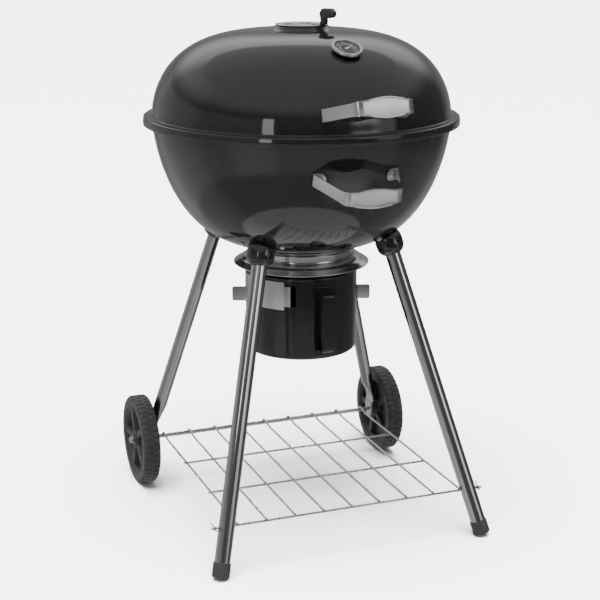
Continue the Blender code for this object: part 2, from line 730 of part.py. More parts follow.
def build_rear_leg(name, side):
    """A tube that is pressed flat at its lower end, where the axle passes through it."""
    top, down = leg_line(side, 1)
    level = Vector((down.x, down.y, 0.0)).normalized()
    stretch = 1.0 / abs(down.z)
    start = top - down * SOCKET_REACH * 0.45
    squeeze = AXLE_Z + 0.072
    flat = AXLE_Z + 0.030
    sections = []

    def tube_centre(z):
        return top + down * ((LEG_TOP_Z - z) / -down.z)

    for z in (start.z, squeeze):
        sections.append((tube_centre(z), REAR_TUBE_R, REAR_TUBE_R, stretch))
    plate = TUBE_WALL + 0.0005
    for share in (0.35, 0.70, 1.0):
        z = squeeze + (flat - squeeze) * share
        thin = REAR_TUBE_R + (plate - REAR_TUBE_R) * share
        wide = REAR_TUBE_R + (0.0180 - REAR_TUBE_R) * share
        sections.append((tube_centre(z), thin, wide, 1.0 + (stretch - 1.0) * (1 - share)))
    for drop, wide in ((0.018, 0.0175), (0.0, 0.0160), (-0.010, 0.0120), (-0.016, 0.0065)):
        sections.append((Vector((side * LEG_END_X, AXLE_Y, AXLE_Z + drop)), plate, wide, 1.0))
    work = bmesh.new()
    rings = []
    count = 14
    for centre, thin, wide, pull in sections:
        ring = []
        for i in range(count):
            turn = 2 * math.pi * i / count
            offset = Vector((thin * math.cos(turn), wide * math.sin(turn), 0.0))
            offset += level * offset.dot(level) * (pull - 1.0)
            ring.append(work.verts.new(centre + offset))
        rings.append(ring)
    for upper, lower in zip(rings, rings[1:]):
        for i in range(count):
            j = (i + 1) % count
            work.faces.new((upper[i], lower[i], lower[j], upper[j]))
    bmesh.ops.recalc_face_normals(work, faces=work.faces)
    mesh = bpy.data.meshes.new(name)
    work.to_mesh(mesh)
    work.free()
    leg = mesh_object(name, mesh)
    thick = leg.modifiers.new("wall", "SOLIDIFY")
    thick.thickness = TUBE_WALL
    thick.offset = -1.0
    hole = bolt_cutters(name + "_hole", [((side * LEG_END_X, AXLE_Y, AXLE_Z), (1.0, 0.0, 0.0))],
                        AXLE_R + GAP)
    boolean(leg, hole)
    keep(leg, CHROME)


# ---- wheels, axle and rack -----------------------------------------------------------------
def build_wheel(name, side):
    """A moulded wheel turned about the axle, with a groove in its tread and dished faces."""
    half = WHEEL_WIDTH / 2
    bore = AXLE_R + 2 * GAP
    hub = 0.013
    rim = WHEEL_R - 0.022
    profile = [
        (bore, half), (hub, half), (hub + 0.002, half - 0.009), (rim - 0.002, half - 0.009),
        (rim, half), (WHEEL_R - 0.006, half), (WHEEL_R, half - 0.006),
        (WHEEL_R, -half + 0.006), (WHEEL_R - 0.006, -half), (rim, -half),
        (rim - 0.002, -half + 0.009), (hub + 0.002, -half + 0.009), (hub, -half), (bore, -half)]
    at = Vector((side * (WHEEL_OUT - half), AXLE_Y, AXLE_Z))
    keep(lathe(name, profile, 28, matrix=along(at, (side, 0.0, 0.0)), closed=True), PLASTIC)


def build_axle():
    end = WHEEL_OUT + 0.006
    keep(rod("axle", (-end, AXLE_Y, AXLE_Z), (end, AXLE_Y, AXLE_Z), AXLE_R, 12), ZINC)
    for name, side in (("left", -1), ("right", 1)):
        bore = AXLE_R + GAP
        nut = [(0.0, 0.0088), (0.0035, 0.0082), (0.0068, 0.0055), (0.0078, 0.0),
               (bore, 0.0), (bore, 0.0062 + GAP), (0.0, 0.0062 + GAP)]
        at = (side * (WHEEL_OUT + GAP), AXLE_Y, AXLE_Z)
        keep(lathe(f"axle_nut_{name}", nut, 12, matrix=along(at, (side, 0.0, 0.0))), ZINC)


def rack_front():
    """Y and Z of the rack's front wire, which passes through the middle of both front legs."""
    z = AXLE_Z - RACK_DROP
    top, down = leg_line(1, -1)
    at = top + down * ((LEG_TOP_Z - z) / -down.z)
    return at.x, at.y, z


def build_rack():
    """The wire shelf: long wires hooked over the axle and welded to cross wires."""
    leg_x, front, low = rack_front()
    r = RACK_WIRE_R
    over = AXLE_Z + AXLE_R + r + GAP
    lift = 1.6 * r
    rack_half = leg_x - FRONT_TUBE_R - RACK_SIDE
    rear_y = AXLE_Y + AXLE_R + r + GAP
    long_wires = []
    for i in range(RACK_WIRES):
        x = -rack_half + 2 * rack_half * i / (RACK_WIRES - 1)
        path = [(x, front - r * 0.5, low + lift), (x, AXLE_Y - 0.030, low + lift),
                (x, AXLE_Y - 0.012, over), (x, AXLE_Y + 0.001, over),
                (x, rear_y, over - 0.0035), (x, rear_y, AXLE_Z - 0.002)]
        long_wires.append(as_mesh(wire(f"rack_long_{i}", path, r, 1), CUTTERS))
    ends = leg_x + FRONT_TUBE_R + 0.014
    rack = rod("bottom_rack", (-ends, front, low), (ends, front, low), r, 8)
    for tool in long_wires:
        boolean(rack, tool, "UNION")
    span = AXLE_Y - front
    for k in range(1, RACK_CROSS):
        y = front + span * k / RACK_CROSS
        half = rack_half + 0.003
        tool = rod(f"rack_cross_{k}", (-half, y, low), (half, y, low), r, 8, CUTTERS)
        boolean(rack, tool, "UNION")
    keep(rack, ZINC)
    for name, side in (("left", -1), ("right", 1)):
        x = side * (leg_x + FRONT_TUBE_R + 0.007)
        points = [(x - side * 0.003, front - 0.014, low - 0.0020),
                  (x, front - 0.004, low + r + 0.0016), (x, front + 0.003, low + r + 0.0016),
                  (x + side * 0.0015, front + 0.011, low + 0.004),
                  (x + side * 0.004, front + 0.014, low + 0.0085)]
        keep(wire(f"rack_clip_{name}", points, 0.0011, 1), ZINC)


def build_rack_holes():
    """A cutter for the holes that the rack's front wire needs in both front legs."""
    leg_x, front, low = rack_front()
    rod("rack_pin_holes", (-leg_x - 0.03, front, low), (leg_x + 0.03, front, low),
        RACK_WIRE_R + GAP, 12, CUTTERS)


# ---- ash collar, brim and bucket -----------------------------------------------------------
def build_collar():
    """The throat under the bowl, with a flange that follows it, and the brim round it."""
    flange = COLLAR_R + COLLAR_FLANGE
    gap = 0.0004
    top_in = bowl_under(COLLAR_R) - gap
    top_out = bowl_under(flange) - gap
    inner = COLLAR_R - SHEET
    low = top_in - COLLAR_LENGTH
    profile = [(inner, bowl_under(inner) - gap), (COLLAR_R, top_in), (flange, top_out - 0.0006),
               (flange + 0.0010, top_out - 0.0022), (flange, top_out - 0.0036),
               (flange - 0.0030, top_out - 0.0040), (COLLAR_R + 0.0020, top_in - 0.0040),
               (COLLAR_R, top_in - 0.0060), (COLLAR_R, low), (inner, low)]
    keep(lathe("ash_collar", profile, 32, closed=True), STAINLESS)
    top = BRIM_Z + BRIM_RISE
    bore = COLLAR_R + GAP
    brim = [(bore, top + 0.0030), (bore + SHEET, top + 0.0030), (bore + SHEET, top + 0.0004),
            (BRIM_R - 0.0020, BRIM_Z + 0.0012), (BRIM_R, BRIM_Z),
            (BRIM_R - 0.0004, BRIM_Z - 0.0016),
            (BRIM_R - 0.0024, BRIM_Z - 0.0014), (BRIM_R - 0.0030, BRIM_Z),
            (bore, top - 0.0014)]
    keep(lathe("collar_brim", brim, 32, closed=True), STAINLESS)


def ring_point(angle, r, z):
    return Vector((r * math.cos(angle), r * math.sin(angle), z))


def build_bucket():
    """The ash bucket with its air slots and its rolled edge."""
    inner = BUCKET_R - SHEET
    corner = BUCKET_CORNER
    outside = []
    inside = []
    for i in range(4):
        turn = math.radians(90 * i / 3)
        outside.append((BUCKET_R - corner + corner * math.cos(turn),
                        BUCKET_BOTTOM + corner - corner * math.sin(turn)))
        small = corner - SHEET
        inside.append((inner - small + small * math.cos(turn),
                       BUCKET_BOTTOM + SHEET + small - small * math.sin(turn)))
    edge = 0.0018
    bead = [(inner, BUCKET_TOP - 0.002), (inner + 0.0005, BUCKET_TOP),
            (BUCKET_R + edge - 0.0008, BUCKET_TOP), (BUCKET_R + edge, BUCKET_TOP - 0.0015),
            (BUCKET_R + edge - 0.0004, BUCKET_TOP - 0.0034), (BUCKET_R, BUCKET_TOP - 0.0040)]
    profile = [(0.0, BUCKET_BOTTOM + SHEET)] + inside[::-1] + bead + outside
    profile.append((0.0, BUCKET_BOTTOM))
    bucket = lathe("ash_bucket", profile, 40)
    work = bmesh.new()
    for turn in (0.0, math.pi):
        for i in range(SLOTS):
            angle = SHUTTER_FROM + TONGUE_ARC + SLOT_ARC * 0.2 + SLOT_PITCH * i + turn
            middle = ring_point(angle, BUCKET_R, SHUTTER_LOW + SHUTTER_HEIGHT / 2)
            size = Matrix.Diagonal((0.012, SLOT_ARC * BUCKET_R, SHUTTER_TONGUE, 1.0))
            place = Matrix.Translation(middle) @ Matrix.Rotation(angle, 4, "Z") @ size
            bmesh.ops.create_cube(work, size=1.0, matrix=place)
    mesh = bpy.data.meshes.new("air_slots")
    work.to_mesh(mesh)
    work.free()
    boolean(bucket, mesh_object("air_slots", mesh, CUTTERS))
    keep(bucket, ENAMEL, BUCKET)


def build_bucket_loop():
    """The carrying loop on the front of the bucket."""
    foot = BUCKET_R + 0.0016
    out = BUCKET_R + BUCKET_LOOP
    high = BUCKET_BOTTOM + 0.0205 + BUCKET_LOOP_HEIGHT
    low = BUCKET_BOTTOM + 0.0205
    half = BUCKET_LOOP_WIDTH / 2
    corners = [(foot, high + 0.012, 0.0), (foot, high, 0.0), (out, high - 0.004, 0.0),
               (out, low + 0.004, 0.0), (foot, low, 0.0), (foot, low - 0.010, 0.0)]
    path = rounded(corners, 0.004, 3)
    rows = [(Vector((half, -p.x, p.y)), Vector((-half, -p.x, p.y))) for p in path]
    strip("bucket_loop", rows, 0.0020, ENAMEL, BUCKET)


def build_shutter(name, turn, parent):
    """A curved plate that slides round the bucket over its slots, moved by a folded fin."""
    r = BUCKET_R + SHUTTER_SHEET / 2 + 0.0005
    full = (SHUTTER_LOW, SHUTTER_LOW + SHUTTER_HEIGHT)
    middle = SHUTTER_LOW + SHUTTER_HEIGHT / 2
    tongue = (middle - SHUTTER_TONGUE / 2, middle + SHUTTER_TONGUE / 2)
    fin = (FIN_LOW, FIN_LOW + FIN_HEIGHT)
    path = []
    for i in range(3):
        angle = SHUTTER_FROM + TONGUE_ARC * (1 - i / 2)
        path.append((angle, r + SHUTTER_STEP, tongue))
    path.append((SHUTTER_FROM - 0.012, r, full))
    count = 9
    for i in range(1, count + 1):
        angle = SHUTTER_FROM + (SHUTTER_TO + 0.05 - SHUTTER_FROM) * i / count
        path.append((angle, r, full))
    path.append((SHUTTER_TO + 0.015, r, fin))
    path.append((SHUTTER_TO, r + 0.0015, fin))
    path.append((SHUTTER_TO, r + FIN_REACH * 0.85, fin))
    path.append((SHUTTER_TO, r + FIN_REACH, (fin[0] + 0.004, fin[1] - 0.004)))
    rows = [(ring_point(a + turn, q, z[0]), ring_point(a + turn, q, z[1])) for a, q, z in path]
    strip(name, rows, SHUTTER_SHEET, STAINLESS, parent)


def build_guide(name, turn):
    """A bridge strip on the bucket that keeps its shutter against the wall."""
    clear = BUCKET_R + SHUTTER_STEP + SHUTTER_SHEET + 0.0016
    near = BUCKET_R + 0.0013
    low = SHUTTER_LOW - 0.0015
    high = SHUTTER_LOW + SHUTTER_HEIGHT + 0.0012
    path = [(near, low - 0.010), (near, low), (clear, low + 0.0005), (clear, high - 0.0005),
            (near, high), (near, high + 0.0012)]
    angle = GUIDE_AT + turn
    side = Vector((-math.sin(angle), math.cos(angle), 0.0)) * GUIDE_WIDTH / 2
    rows = []
    for r, z in path:
        at = ring_point(angle, r, z)
        rows.append((at - side, at + side))
    strip(name, rows, 0.0010, STAINLESS, BUCKET)


# ---- put it together -----------------------------------------------------------------------
lathe("bowl_form", [(r, RIM_Z - height) for r, height in
                    dome(KETTLE_R + GAP, BOWL_DEPTH + GAP, BOWL_POWERS, 9, 0.16)][::-1]
      + [(0.0, RIM_Z)], SHELL_STEPS, CUTTERS)
floor = bmesh.new()
bmesh.ops.create_cube(floor, size=1.0, matrix=Matrix.Translation((0.0, 0.0, -0.5)))
floor_mesh = bpy.data.meshes.new("floor_cut")
floor.to_mesh(floor_mesh)
floor.free()
mesh_object("floor_cut", floor_mesh, CUTTERS)
build_rack_holes()

LID_SHELL = build_lid()
VENT = frame("lid_vent_frame", parent=LID)
build_lid_fittings(LID_SHELL)
build_vent(LID_SHELL)
build_thermometer(LID_SHELL)
keep(LID_SHELL, ENAMEL, LID)

BOWL_SHELL = build_bowl()
WALL = bowl_outside(BOWL_HANDLE_Z)
BOWL_NORMAL = dome_normal(WALL, RIM_Z - BOWL_HANDLE_Z, KETTLE_R, BOWL_DEPTH, BOWL_POWERS)
BOWL_NORMAL = (BOWL_NORMAL[0], -BOWL_NORMAL[1])
_, BOLT_AZIMUTH = handle("bowl_handle", BOWL_HANDLE_Z, WALL, BOWL_NORMAL)
DRILLS = handle_bolts("bowl_handle_bolt", BOWL_HANDLE_Z, BOLT_AZIMUTH, bowl_outside, BOWL_NORMAL)
boolean(bpy.data.objects["bowl_handle"], bolt_cutters("bowl_handle_holes", DRILLS, BOLT_R + GAP))
CORNERS = (("front_left", -1, -1), ("front_right", 1, -1), ("rear_left", -1, 1),
           ("rear_right", 1, 1))
for corner, side, end in CORNERS:
    tube = FRONT_TUBE_R if end < 0 else REAR_TUBE_R
    build_socket(f"leg_socket_{corner}", side, end, tube)
    DRILLS = DRILLS + build_socket_bolts(side, end, corner)
    if end < 0:
        build_front_leg(f"leg_{corner}", side)
    else:
        build_rear_leg(f"leg_{corner}", side)
build_bowl_holes(BOWL_SHELL, DRILLS)
keep(BOWL_SHELL, ENAMEL)
build_brackets()
build_grate("cooking_grate", GRATE_R, GRATE_Z, GRATE_PITCH, GRATE_WIRE_R)
build_grate("charcoal_grate", COAL_R, COAL_Z, COAL_PITCH, GRATE_WIRE_R - 0.0004)

build_wheel("wheel_left", -1)
build_wheel("wheel_right", 1)
build_axle()
build_rack()

build_collar()
BUCKET = frame("ash_bucket_frame")
build_bucket()
build_bucket_loop()
build_shutter("air_shutter_left", 0.0, BUCKET)
build_shutter("air_shutter_right", math.pi, BUCKET)
build_guide("shutter_guide_left", 0.0)
build_guide("shutter_guide_right", math.pi)

# the origin goes on the floor below the middle of the finished grill
GRILL = frame("grill_frame")
for piece in list(PARTS.objects) + list(CUTTERS.objects):
    if piece.parent is None and piece is not GRILL:
        piece.parent = GRILL
bpy.context.view_layer.update()
FINISHED = bpy.context.evaluated_depsgraph_get()
SPAN = []
for piece in PARTS.objects:
    if piece.type != "EMPTY":
        solid = piece.evaluated_get(FINISHED)
        SPAN += [(solid.matrix_world @ vertex.co).y for vertex in solid.to_mesh().vertices]
GRILL.location = (0.0, -(min(SPAN) + max(SPAN)) / 2, 0.0)
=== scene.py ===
"""Kettle charcoal grill: its finished surfaces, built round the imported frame.

Metres, +Z up, the front with both handles faces -Y.  Every shape is a surface worked out as
whole arrays: a profile turned about an axis, or a section carried along a path.
"""
import json

import bmesh
import bpy
import numpy as np
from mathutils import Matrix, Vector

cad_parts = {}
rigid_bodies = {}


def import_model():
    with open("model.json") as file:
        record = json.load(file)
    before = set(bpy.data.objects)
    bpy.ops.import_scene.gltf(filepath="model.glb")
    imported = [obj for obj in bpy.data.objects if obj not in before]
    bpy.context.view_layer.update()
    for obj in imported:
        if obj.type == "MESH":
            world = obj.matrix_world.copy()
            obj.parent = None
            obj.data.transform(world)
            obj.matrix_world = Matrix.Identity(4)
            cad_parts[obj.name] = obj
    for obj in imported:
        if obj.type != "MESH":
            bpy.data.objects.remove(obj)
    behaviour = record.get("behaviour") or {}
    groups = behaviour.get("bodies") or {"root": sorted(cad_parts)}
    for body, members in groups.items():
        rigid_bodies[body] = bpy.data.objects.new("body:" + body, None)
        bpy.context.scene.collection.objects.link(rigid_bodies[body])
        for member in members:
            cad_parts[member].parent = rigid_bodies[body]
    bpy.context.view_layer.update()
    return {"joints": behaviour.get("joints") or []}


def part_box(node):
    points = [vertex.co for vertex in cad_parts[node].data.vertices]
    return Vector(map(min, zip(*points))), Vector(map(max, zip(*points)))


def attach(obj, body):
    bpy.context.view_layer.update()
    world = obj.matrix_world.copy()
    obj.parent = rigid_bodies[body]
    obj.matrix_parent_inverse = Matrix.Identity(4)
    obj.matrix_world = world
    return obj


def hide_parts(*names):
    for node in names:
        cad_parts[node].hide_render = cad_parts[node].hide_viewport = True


bl_info = {
    "name": "Kettle grill finish",
    "version": (1, 0, 0),
    "blender": (4, 5, 0),
    "location": "3D View > Sidebar > Kettle grill",
    "description": "Builds the finished surfaces of a kettle charcoal grill round its frame",
    "category": "Add Mesh",
}

for leftover in list(bpy.data.objects):
    bpy.data.objects.remove(leftover)
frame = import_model()

# ---- the kettle's own sizes ----------------------------------------------------------------
JOINTS = {joint["name"]: joint for joint in frame["joints"]}
KETTLE_Y = JOINTS["lid_vent_turn"]["pos_m"][1]
NEEDLE_AXIS = np.array(JOINTS["thermometer_needle_turn"]["axis"])
LID_TURN = np.arctan2(NEEDLE_AXIS[0], -NEEDLE_AXIS[1])
SHEET = 0.0010             # enamelled steel
GAP = 0.0003               # what loose pieces stand clear by
KETTLE_R = 0.274           # outside radius of lid and bowl where they meet
LID_RISE = 0.157
LID_POWERS = (3.48, 1.95)  # the superellipse's powers across and up
BOWL_POWERS = (3.65, 1.56)
VENT_SEAT = 0.0060         # the flat seat stands this far above the dome
VENT_R = 0.0485
VENT_HOLE_OUT = 0.027      # from the kettle's axis to a damper hole's middle
VENT_HOLE_R = 0.0085
VENT_GRIP_TURN = np.radians(34.0)
LID_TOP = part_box("lid_shell")[1].z
RIM_Z = LID_TOP - VENT_SEAT - LID_RISE
BOWL_DEPTH = RIM_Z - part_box("bowl_shell")[0].z
LIP_R = 0.290              # outside radius of the lid's skirt
SKIRT_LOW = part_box("lid_shell")[0].z
SKIRT_TOP = SKIRT_LOW + 0.0145
DIAL_R = 0.0275
DIAL_HEIGHT = 0.0100
DIAL_OUT = 0.1884          # from the kettle's axis to the dial's foot
HANDLE_SPAN = 0.080        # half the length over a handle's feet
HANDLE_GRIP = 0.049        # half the length of its grip
HANDLE_REACH = 0.084       # how far the grip stands off the wall
HANDLE_STRIP = 0.0025
HANDLE_FOOT = 0.024
LID_HANDLE_Z = 0.799
BOWL_HANDLE_Z = 0.693
LEG_TOP = np.array([0.1315, 0.1315, 0.512])     # from the kettle's axis, on the right
FRONT_FOOT = np.array([0.2575, 0.2755, 0.0])
FRONT_TUBE_R = 0.0142
REAR_TUBE_R = 0.0124
AXLE = np.array(JOINTS["wheel_right_spin"]["pos_m"])
AXLE_R = 0.0040
LEG_END_X = 0.2385         # where a rear leg's flat end meets the axle
WHEEL_R = 0.089
WHEEL_HALF = 0.017         # half a wheel's width
WIRE_R = 0.0020
COLLAR_R = 0.0985
BUCKET_R = 0.105
BUCKET_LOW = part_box("ash_bucket")[0].z
BUCKET_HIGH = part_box("ash_bucket")[1].z
SHUTTER_FROM = np.radians(-127.5)               # a shutter's open end, and its fin's end
SHUTTER_TO = np.radians(-197.0)
SHUTTER_MIDDLE = 0.4445
TONGUE_ARC = np.radians(5.8)
SLOT_FROM = SHUTTER_FROM + TONGUE_ARC + np.radians(1.48)
SLOT_PITCH = np.radians(18.7)
GUIDE_AT = np.radians(-160.0)
COOKING_Z = 0.7350
CHARCOAL_Z = 0.6170
GRATE_HOOP_R = 0.0030      # the cooking grate's outer wire
CAMERA_AT = np.array([-0.95696, -2.44302, 1.14606])
CAMERA_TURN = -21.17       # degrees from the front, towards -X
CAMERA_AZIMUTH = np.radians(CAMERA_TURN)
CAMERA_TILT = np.radians(15.56)
CAMERA_ROLL = np.radians(0.10)
CAMERA_LENS = 86.65
UP = np.array([0.0, 0.0, 1.0])
RIGHT = np.array([1.0, 0.0, 0.0])
LID, STAND, BUCKET = "lid", "stand", "bucket"
CORNERS = (("front_left", -1.0, -1.0), ("front_right", 1.0, -1.0), ("rear_left", -1.0, 1.0),
           ("rear_right", 1.0, 1.0))
SIDES = (("left", -1.0), ("right", 1.0))


# ---- surfaces ------------------------------------------------------------------------------
def unit(vectors):
    """Vectors divided by their lengths."""
    vectors = np.asarray(vectors, float)
    return vectors / np.maximum(np.linalg.norm(vectors, axis=-1, keepdims=True), 1e-12)


def step_up(value, low, high):
    """0 below low, 1 above high, and 3t^2 - 2t^3 between them."""
    t = np.clip((value - low) / (high - low), 0.0, 1.0)
    return t * t * (3.0 - 2.0 * t)


def axes_along(direction):
    """Three unit rows: two across a direction, and the direction."""
    w = unit(direction)
    u = unit(np.cross((0.0, 1.0, 0.0) if abs(w[1]) < 0.9 else (1.0, 0.0, 0.0), w))
    return np.stack([u, np.cross(w, u), w])


def turned(profile, steps, at=(0.0, 0.0, 0.0), axis=(0.0, 0.0, 1.0)):
    """A profile of (radius, height) about an axis: (r cos a, r sin a, h), then laid along it."""
    profile = np.asarray(profile, float)
    angle = np.linspace(0.0, 2.0 * np.pi, steps, endpoint=False)
    r, h = profile[:, :1], profile[:, 1:]
    local = np.stack([r * np.cos(angle), r * np.sin(angle), h + 0.0 * angle], -1)
    return np.asarray(at) + local @ axes_along(axis)


def carried(path, across, section, loop=False):
    """A section along a flat path: path + s * across + n * normal, normal = tangent x across."""
    path = np.asarray(path, float)
    if loop:
        step = unit(np.roll(path, -1, 0) - path)
        tangent = unit(step + np.roll(step, 1, 0))
    else:
        step = unit(np.diff(path, axis=0))
        tangent = unit(np.vstack([step[:1], step]) + np.vstack([step, step[-1:]]))
    normal = unit(np.cross(tangent, across))
    section = np.broadcast_to(section, (len(path),) + np.shape(section)[-2:])
    sideways = section[..., :1] * np.asarray(across)
    return path[:, None] + sideways + section[..., 1:] * normal[:, None]


def soften(corners, radii, count=5, closed=True):
    """Each corner gives way to the curve a(1-t)^2 + 2ct(1-t) + bt^2 between points a and b."""
    corners = np.asarray(corners, float)
    radii = np.broadcast_to(radii, corners.shape[:-1])[..., None]
    before = corners + unit(np.roll(corners, 1, -2) - corners) * radii
    after = corners + unit(np.roll(corners, -1, -2) - corners) * radii
    t = np.linspace(0.0, 1.0, count)[:, None]
    a, c, b = before[..., None, :], corners[..., None, :], after[..., None, :]
    curve = a * (1 - t) ** 2 + 2 * c * t * (1 - t) + b * t ** 2
    flat = corners.shape[:-2] + (-1, corners.shape[-1])
    if closed:
        return curve.reshape(flat)
    inner = curve[..., 1:-1, :, :].reshape(flat)
    return np.concatenate([corners[..., :1, :], inner, corners[..., -1:, :]], -2)


def resample(path, step):
    """Points at equal lengths along a path."""
    path = np.asarray(path, float)
    run = np.concatenate([[0.0], np.cumsum(np.linalg.norm(np.diff(path, axis=0), axis=1))])
    at = np.linspace(0.0, run[-1], max(2, int(run[-1] / step) + 1))
    return np.stack([np.interp(at, run, path[:, k]) for k in range(path.shape[1])], -1)


def circle(radius, sides=12):
    """A round section: (r cos a, r sin a)."""
    angle = np.linspace(0.0, 2.0 * np.pi, sides, endpoint=False)
    return radius * np.stack([np.cos(angle), np.sin(angle)], -1)


def channel(width, thickness, hem, edge=0.0008):
    """A bar's section, its two long edges folded back by hem: width and hem may be arrays."""
    w, d = np.broadcast_arrays(np.asarray(width, float) / 2, np.maximum(hem, thickness + 0.0002))
    t = np.full_like(w, thickness)
    zero = np.zeros_like(w)
    corners = [(-w, -d), (-w, zero), (w, zero), (w, -d), (w - t, -d), (w - t, -t), (t - w, -t),
               (t - w, -d)]
    corners = np.stack([np.stack(pair, -1) for pair in corners], -2)
    fine = 0.3 * thickness
    radii = np.array([fine, edge, edge, fine, fine, fine / 2, fine / 2, fine])
    radii = np.where(np.isin(np.arange(8), (0, 3, 4, 5, 6, 7)),
                     np.minimum(radii, 0.45 * (d - t)[..., None] + 1e-5), radii)
    return soften(corners, radii, 4)


def slab(width, thickness, centre=0.0):
    """A rounded flat bar's section: width across, thickness along the normal."""
    w, c = np.broadcast_arrays(np.asarray(width, float) / 2, np.asarray(centre, float))
    t = np.full_like(w, thickness / 2)
    corners = [(c - w, -t), (c - w, t), (c + w, t), (c + w, -t)]
    corners = np.stack([np.stack(pair, -1) for pair in corners], -2)
    return soften(corners, 0.42 * thickness, 4)


def rod(start, end, radius, sides=12):
    """A straight round bar with softened ends."""
    start, end = np.asarray(start, float), np.asarray(end, float)
    length = np.linalg.norm(end - start)
    ease = 0.35 * radius
    profile = [(0.0, 0.0), (radius - ease, 0.0), (radius, ease), (radius, length - ease),
               (radius - ease, length), (0.0, length)]
    return turned(profile, sides, start, end - start)


def superellipse(radius, rise, powers, count, first=0.0):
    """(r, h) with (r/radius)^a + (h/rise)^b = 1: radius cos(t)^(2/a), rise sin(t)^(2/b)."""
    t = np.pi / 2 - (np.pi / 2 - first) * np.linspace(0.0, 1.0, count) ** 1.15
    return np.stack([radius * np.clip(np.cos(t), 0, 1) ** (2 / powers[0]),
                     rise * np.sin(t) ** (2 / powers[1])], -1)


def inset(profile, by):
    """A profile moved sideways by a distance, along its own normals."""
    step = unit(np.diff(profile, axis=0))
    tangent = unit(np.vstack([step[:1], step]) + np.vstack([step, step[-1:]]))
    return profile + by * np.stack([-tangent[:, 1], tangent[:, 0]], -1)


def shell_normal(r, h, rise, powers):
    """(outwards, upwards) parts of a superellipse's unit normal."""
    return unit([powers[0] / KETTLE_R * (r / KETTLE_R) ** (powers[0] - 1),
                 powers[1] / rise * (h / rise) ** (powers[1] - 1)])


def shell_radius(h, rise, powers):
    """Radius of a superellipse at a height above its open edge."""
    return KETTLE_R * (1.0 - (h / rise) ** powers[1]) ** (1.0 / powers[0])


def shell_height(r, rise, powers):
    """Height of a superellipse above its open edge at a radius."""
    return rise * (1.0 - (r / KETTLE_R) ** powers[0]) ** (1.0 / powers[1])


def outwards(azimuth, parts):
    """A direction from its outward and upward parts; azimuth 0 is the front, +X is positive."""
    return np.array([parts[0] * np.sin(azimuth), -parts[0] * np.cos(azimuth), parts[1]])


def level_way(angle):
    """The level direction (cos a, sin a, 0)."""
    return np.array([np.cos(angle), np.sin(angle), 0.0])


def on_kettle(points):
    """Points moved from the kettle's axis to its place."""
    return np.asarray(points, float) + (0.0, KETTLE_Y, 0.0)


def on_lid(points):
    """Points turned with the lid about the kettle's axis, then moved to its place."""
    c, s = np.cos(LID_TURN), np.sin(LID_TURN)
    return on_kettle(np.asarray(points, float) @ np.array([[c, s, 0], [-s, c, 0], [0, 0, 1]]))


DIAL_BASE = on_lid((0.0, -DIAL_OUT, RIM_Z + shell_height(DIAL_OUT, LID_RISE, LID_POWERS)))


# ---- meshes --------------------------------------------------------------------------------
def ball(points):
    """A grid whose first and last rows are poles."""
    return points, False, False


def ring(points):
    """A grid whose last row joins its first."""
    return points, True, False


def bar(points):
    """A grid whose first and last rows get a flat end."""
    return points, False, True


def lay_of(points):
    """Lengths for a finish: run along the rows, and a circle as long as the widest column."""
    run = np.linalg.norm(np.diff(points, axis=0), axis=-1).mean(1)
    run = np.concatenate([[0.0], np.cumsum(run)])
    round_step = np.linalg.norm(np.roll(points, -1, 1) - points, axis=-1)
    widest = round_step[np.argmax(round_step.sum(1))]
    turn = 2.0 * np.pi * (np.cumsum(widest) - widest) / widest.sum()
    radius = widest.sum() / (2.0 * np.pi)
    rows = np.broadcast_to(run[:, None], points.shape[:2])
    return np.stack([rows, rows * 0 + radius * np.cos(turn), rows * 0 + radius * np.sin(turn)], -1)


def grid_faces(points, loop, ends, first):
    """Corner numbers and sizes of a grid's faces, turned so that its volume is positive."""
    rows, columns = points.shape[:2]
    i = np.arange(rows if loop else rows - 1)[:, None]
    j = np.arange(columns)[None, :]
    down, right = (i + 1) % rows, (j + 1) % columns
    quads = np.stack(np.broadcast_arrays(i * columns + j, i * columns + right,
                                         down * columns + right, down * columns + j), -1)
    quads = quads.reshape(-1, 4)
    flat = points.reshape(-1, 3) - points.reshape(-1, 3).mean(0)
    a, b, c, d = (flat[quads[:, k]] for k in range(4))
    volume = np.einsum("ij,ij->", a, np.cross(b, c)) + np.einsum("ij,ij->", a, np.cross(c, d))
    loops = [quads[:, ::-1] if volume < 0 else quads]
    sizes = [np.full(len(quads), 4)]
    if ends:
        near, far = np.arange(columns)[::-1], np.arange(columns) + (rows - 1) * columns
        for end in (near, far):
            loops.append(end[::-1] if volume < 0 else end)
            sizes.append([columns])
    return first + np.concatenate([part.reshape(-1) for part in loops]), np.concatenate(sizes)


def mesh_of(name, grids):
    """A mesh from grids, with its doubled points merged and a lay attribute for its finish."""
    first, places, lays, corners, sizes = 0, [], [], [], []
    for points, loop, ends in grids:
        found, counts = grid_faces(points, loop, ends, first)
        corners.append(found)
        sizes.append(counts)
        places.append(points.reshape(-1, 3))
        lays.append(lay_of(points).reshape(-1, 3))
        first += points.shape[0] * points.shape[1]
    places, corners, sizes = map(np.concatenate, (places, corners, sizes))
    mesh = bpy.data.meshes.new(name)
    mesh.vertices.add(len(places))
    mesh.vertices.foreach_set("co", places.astype(np.float32).ravel())
    mesh.loops.add(len(corners))
    mesh.loops.foreach_set("vertex_index", corners.astype(np.int32))
    mesh.polygons.add(len(sizes))
    mesh.polygons.foreach_set("loop_start", (np.cumsum(sizes) - sizes).astype(np.int32))
    lay = mesh.attributes.new("lay", "FLOAT_VECTOR", "POINT")
    lay.data.foreach_set("vector", np.concatenate(lays).astype(np.float32).ravel())
    mesh.update(calc_edges=True)
    work = bmesh.new()
    work.from_mesh(mesh)
    bmesh.ops.remove_doubles(work, verts=work.verts, dist=0.000002)
    work.to_mesh(mesh)
    work.free()
    return mesh


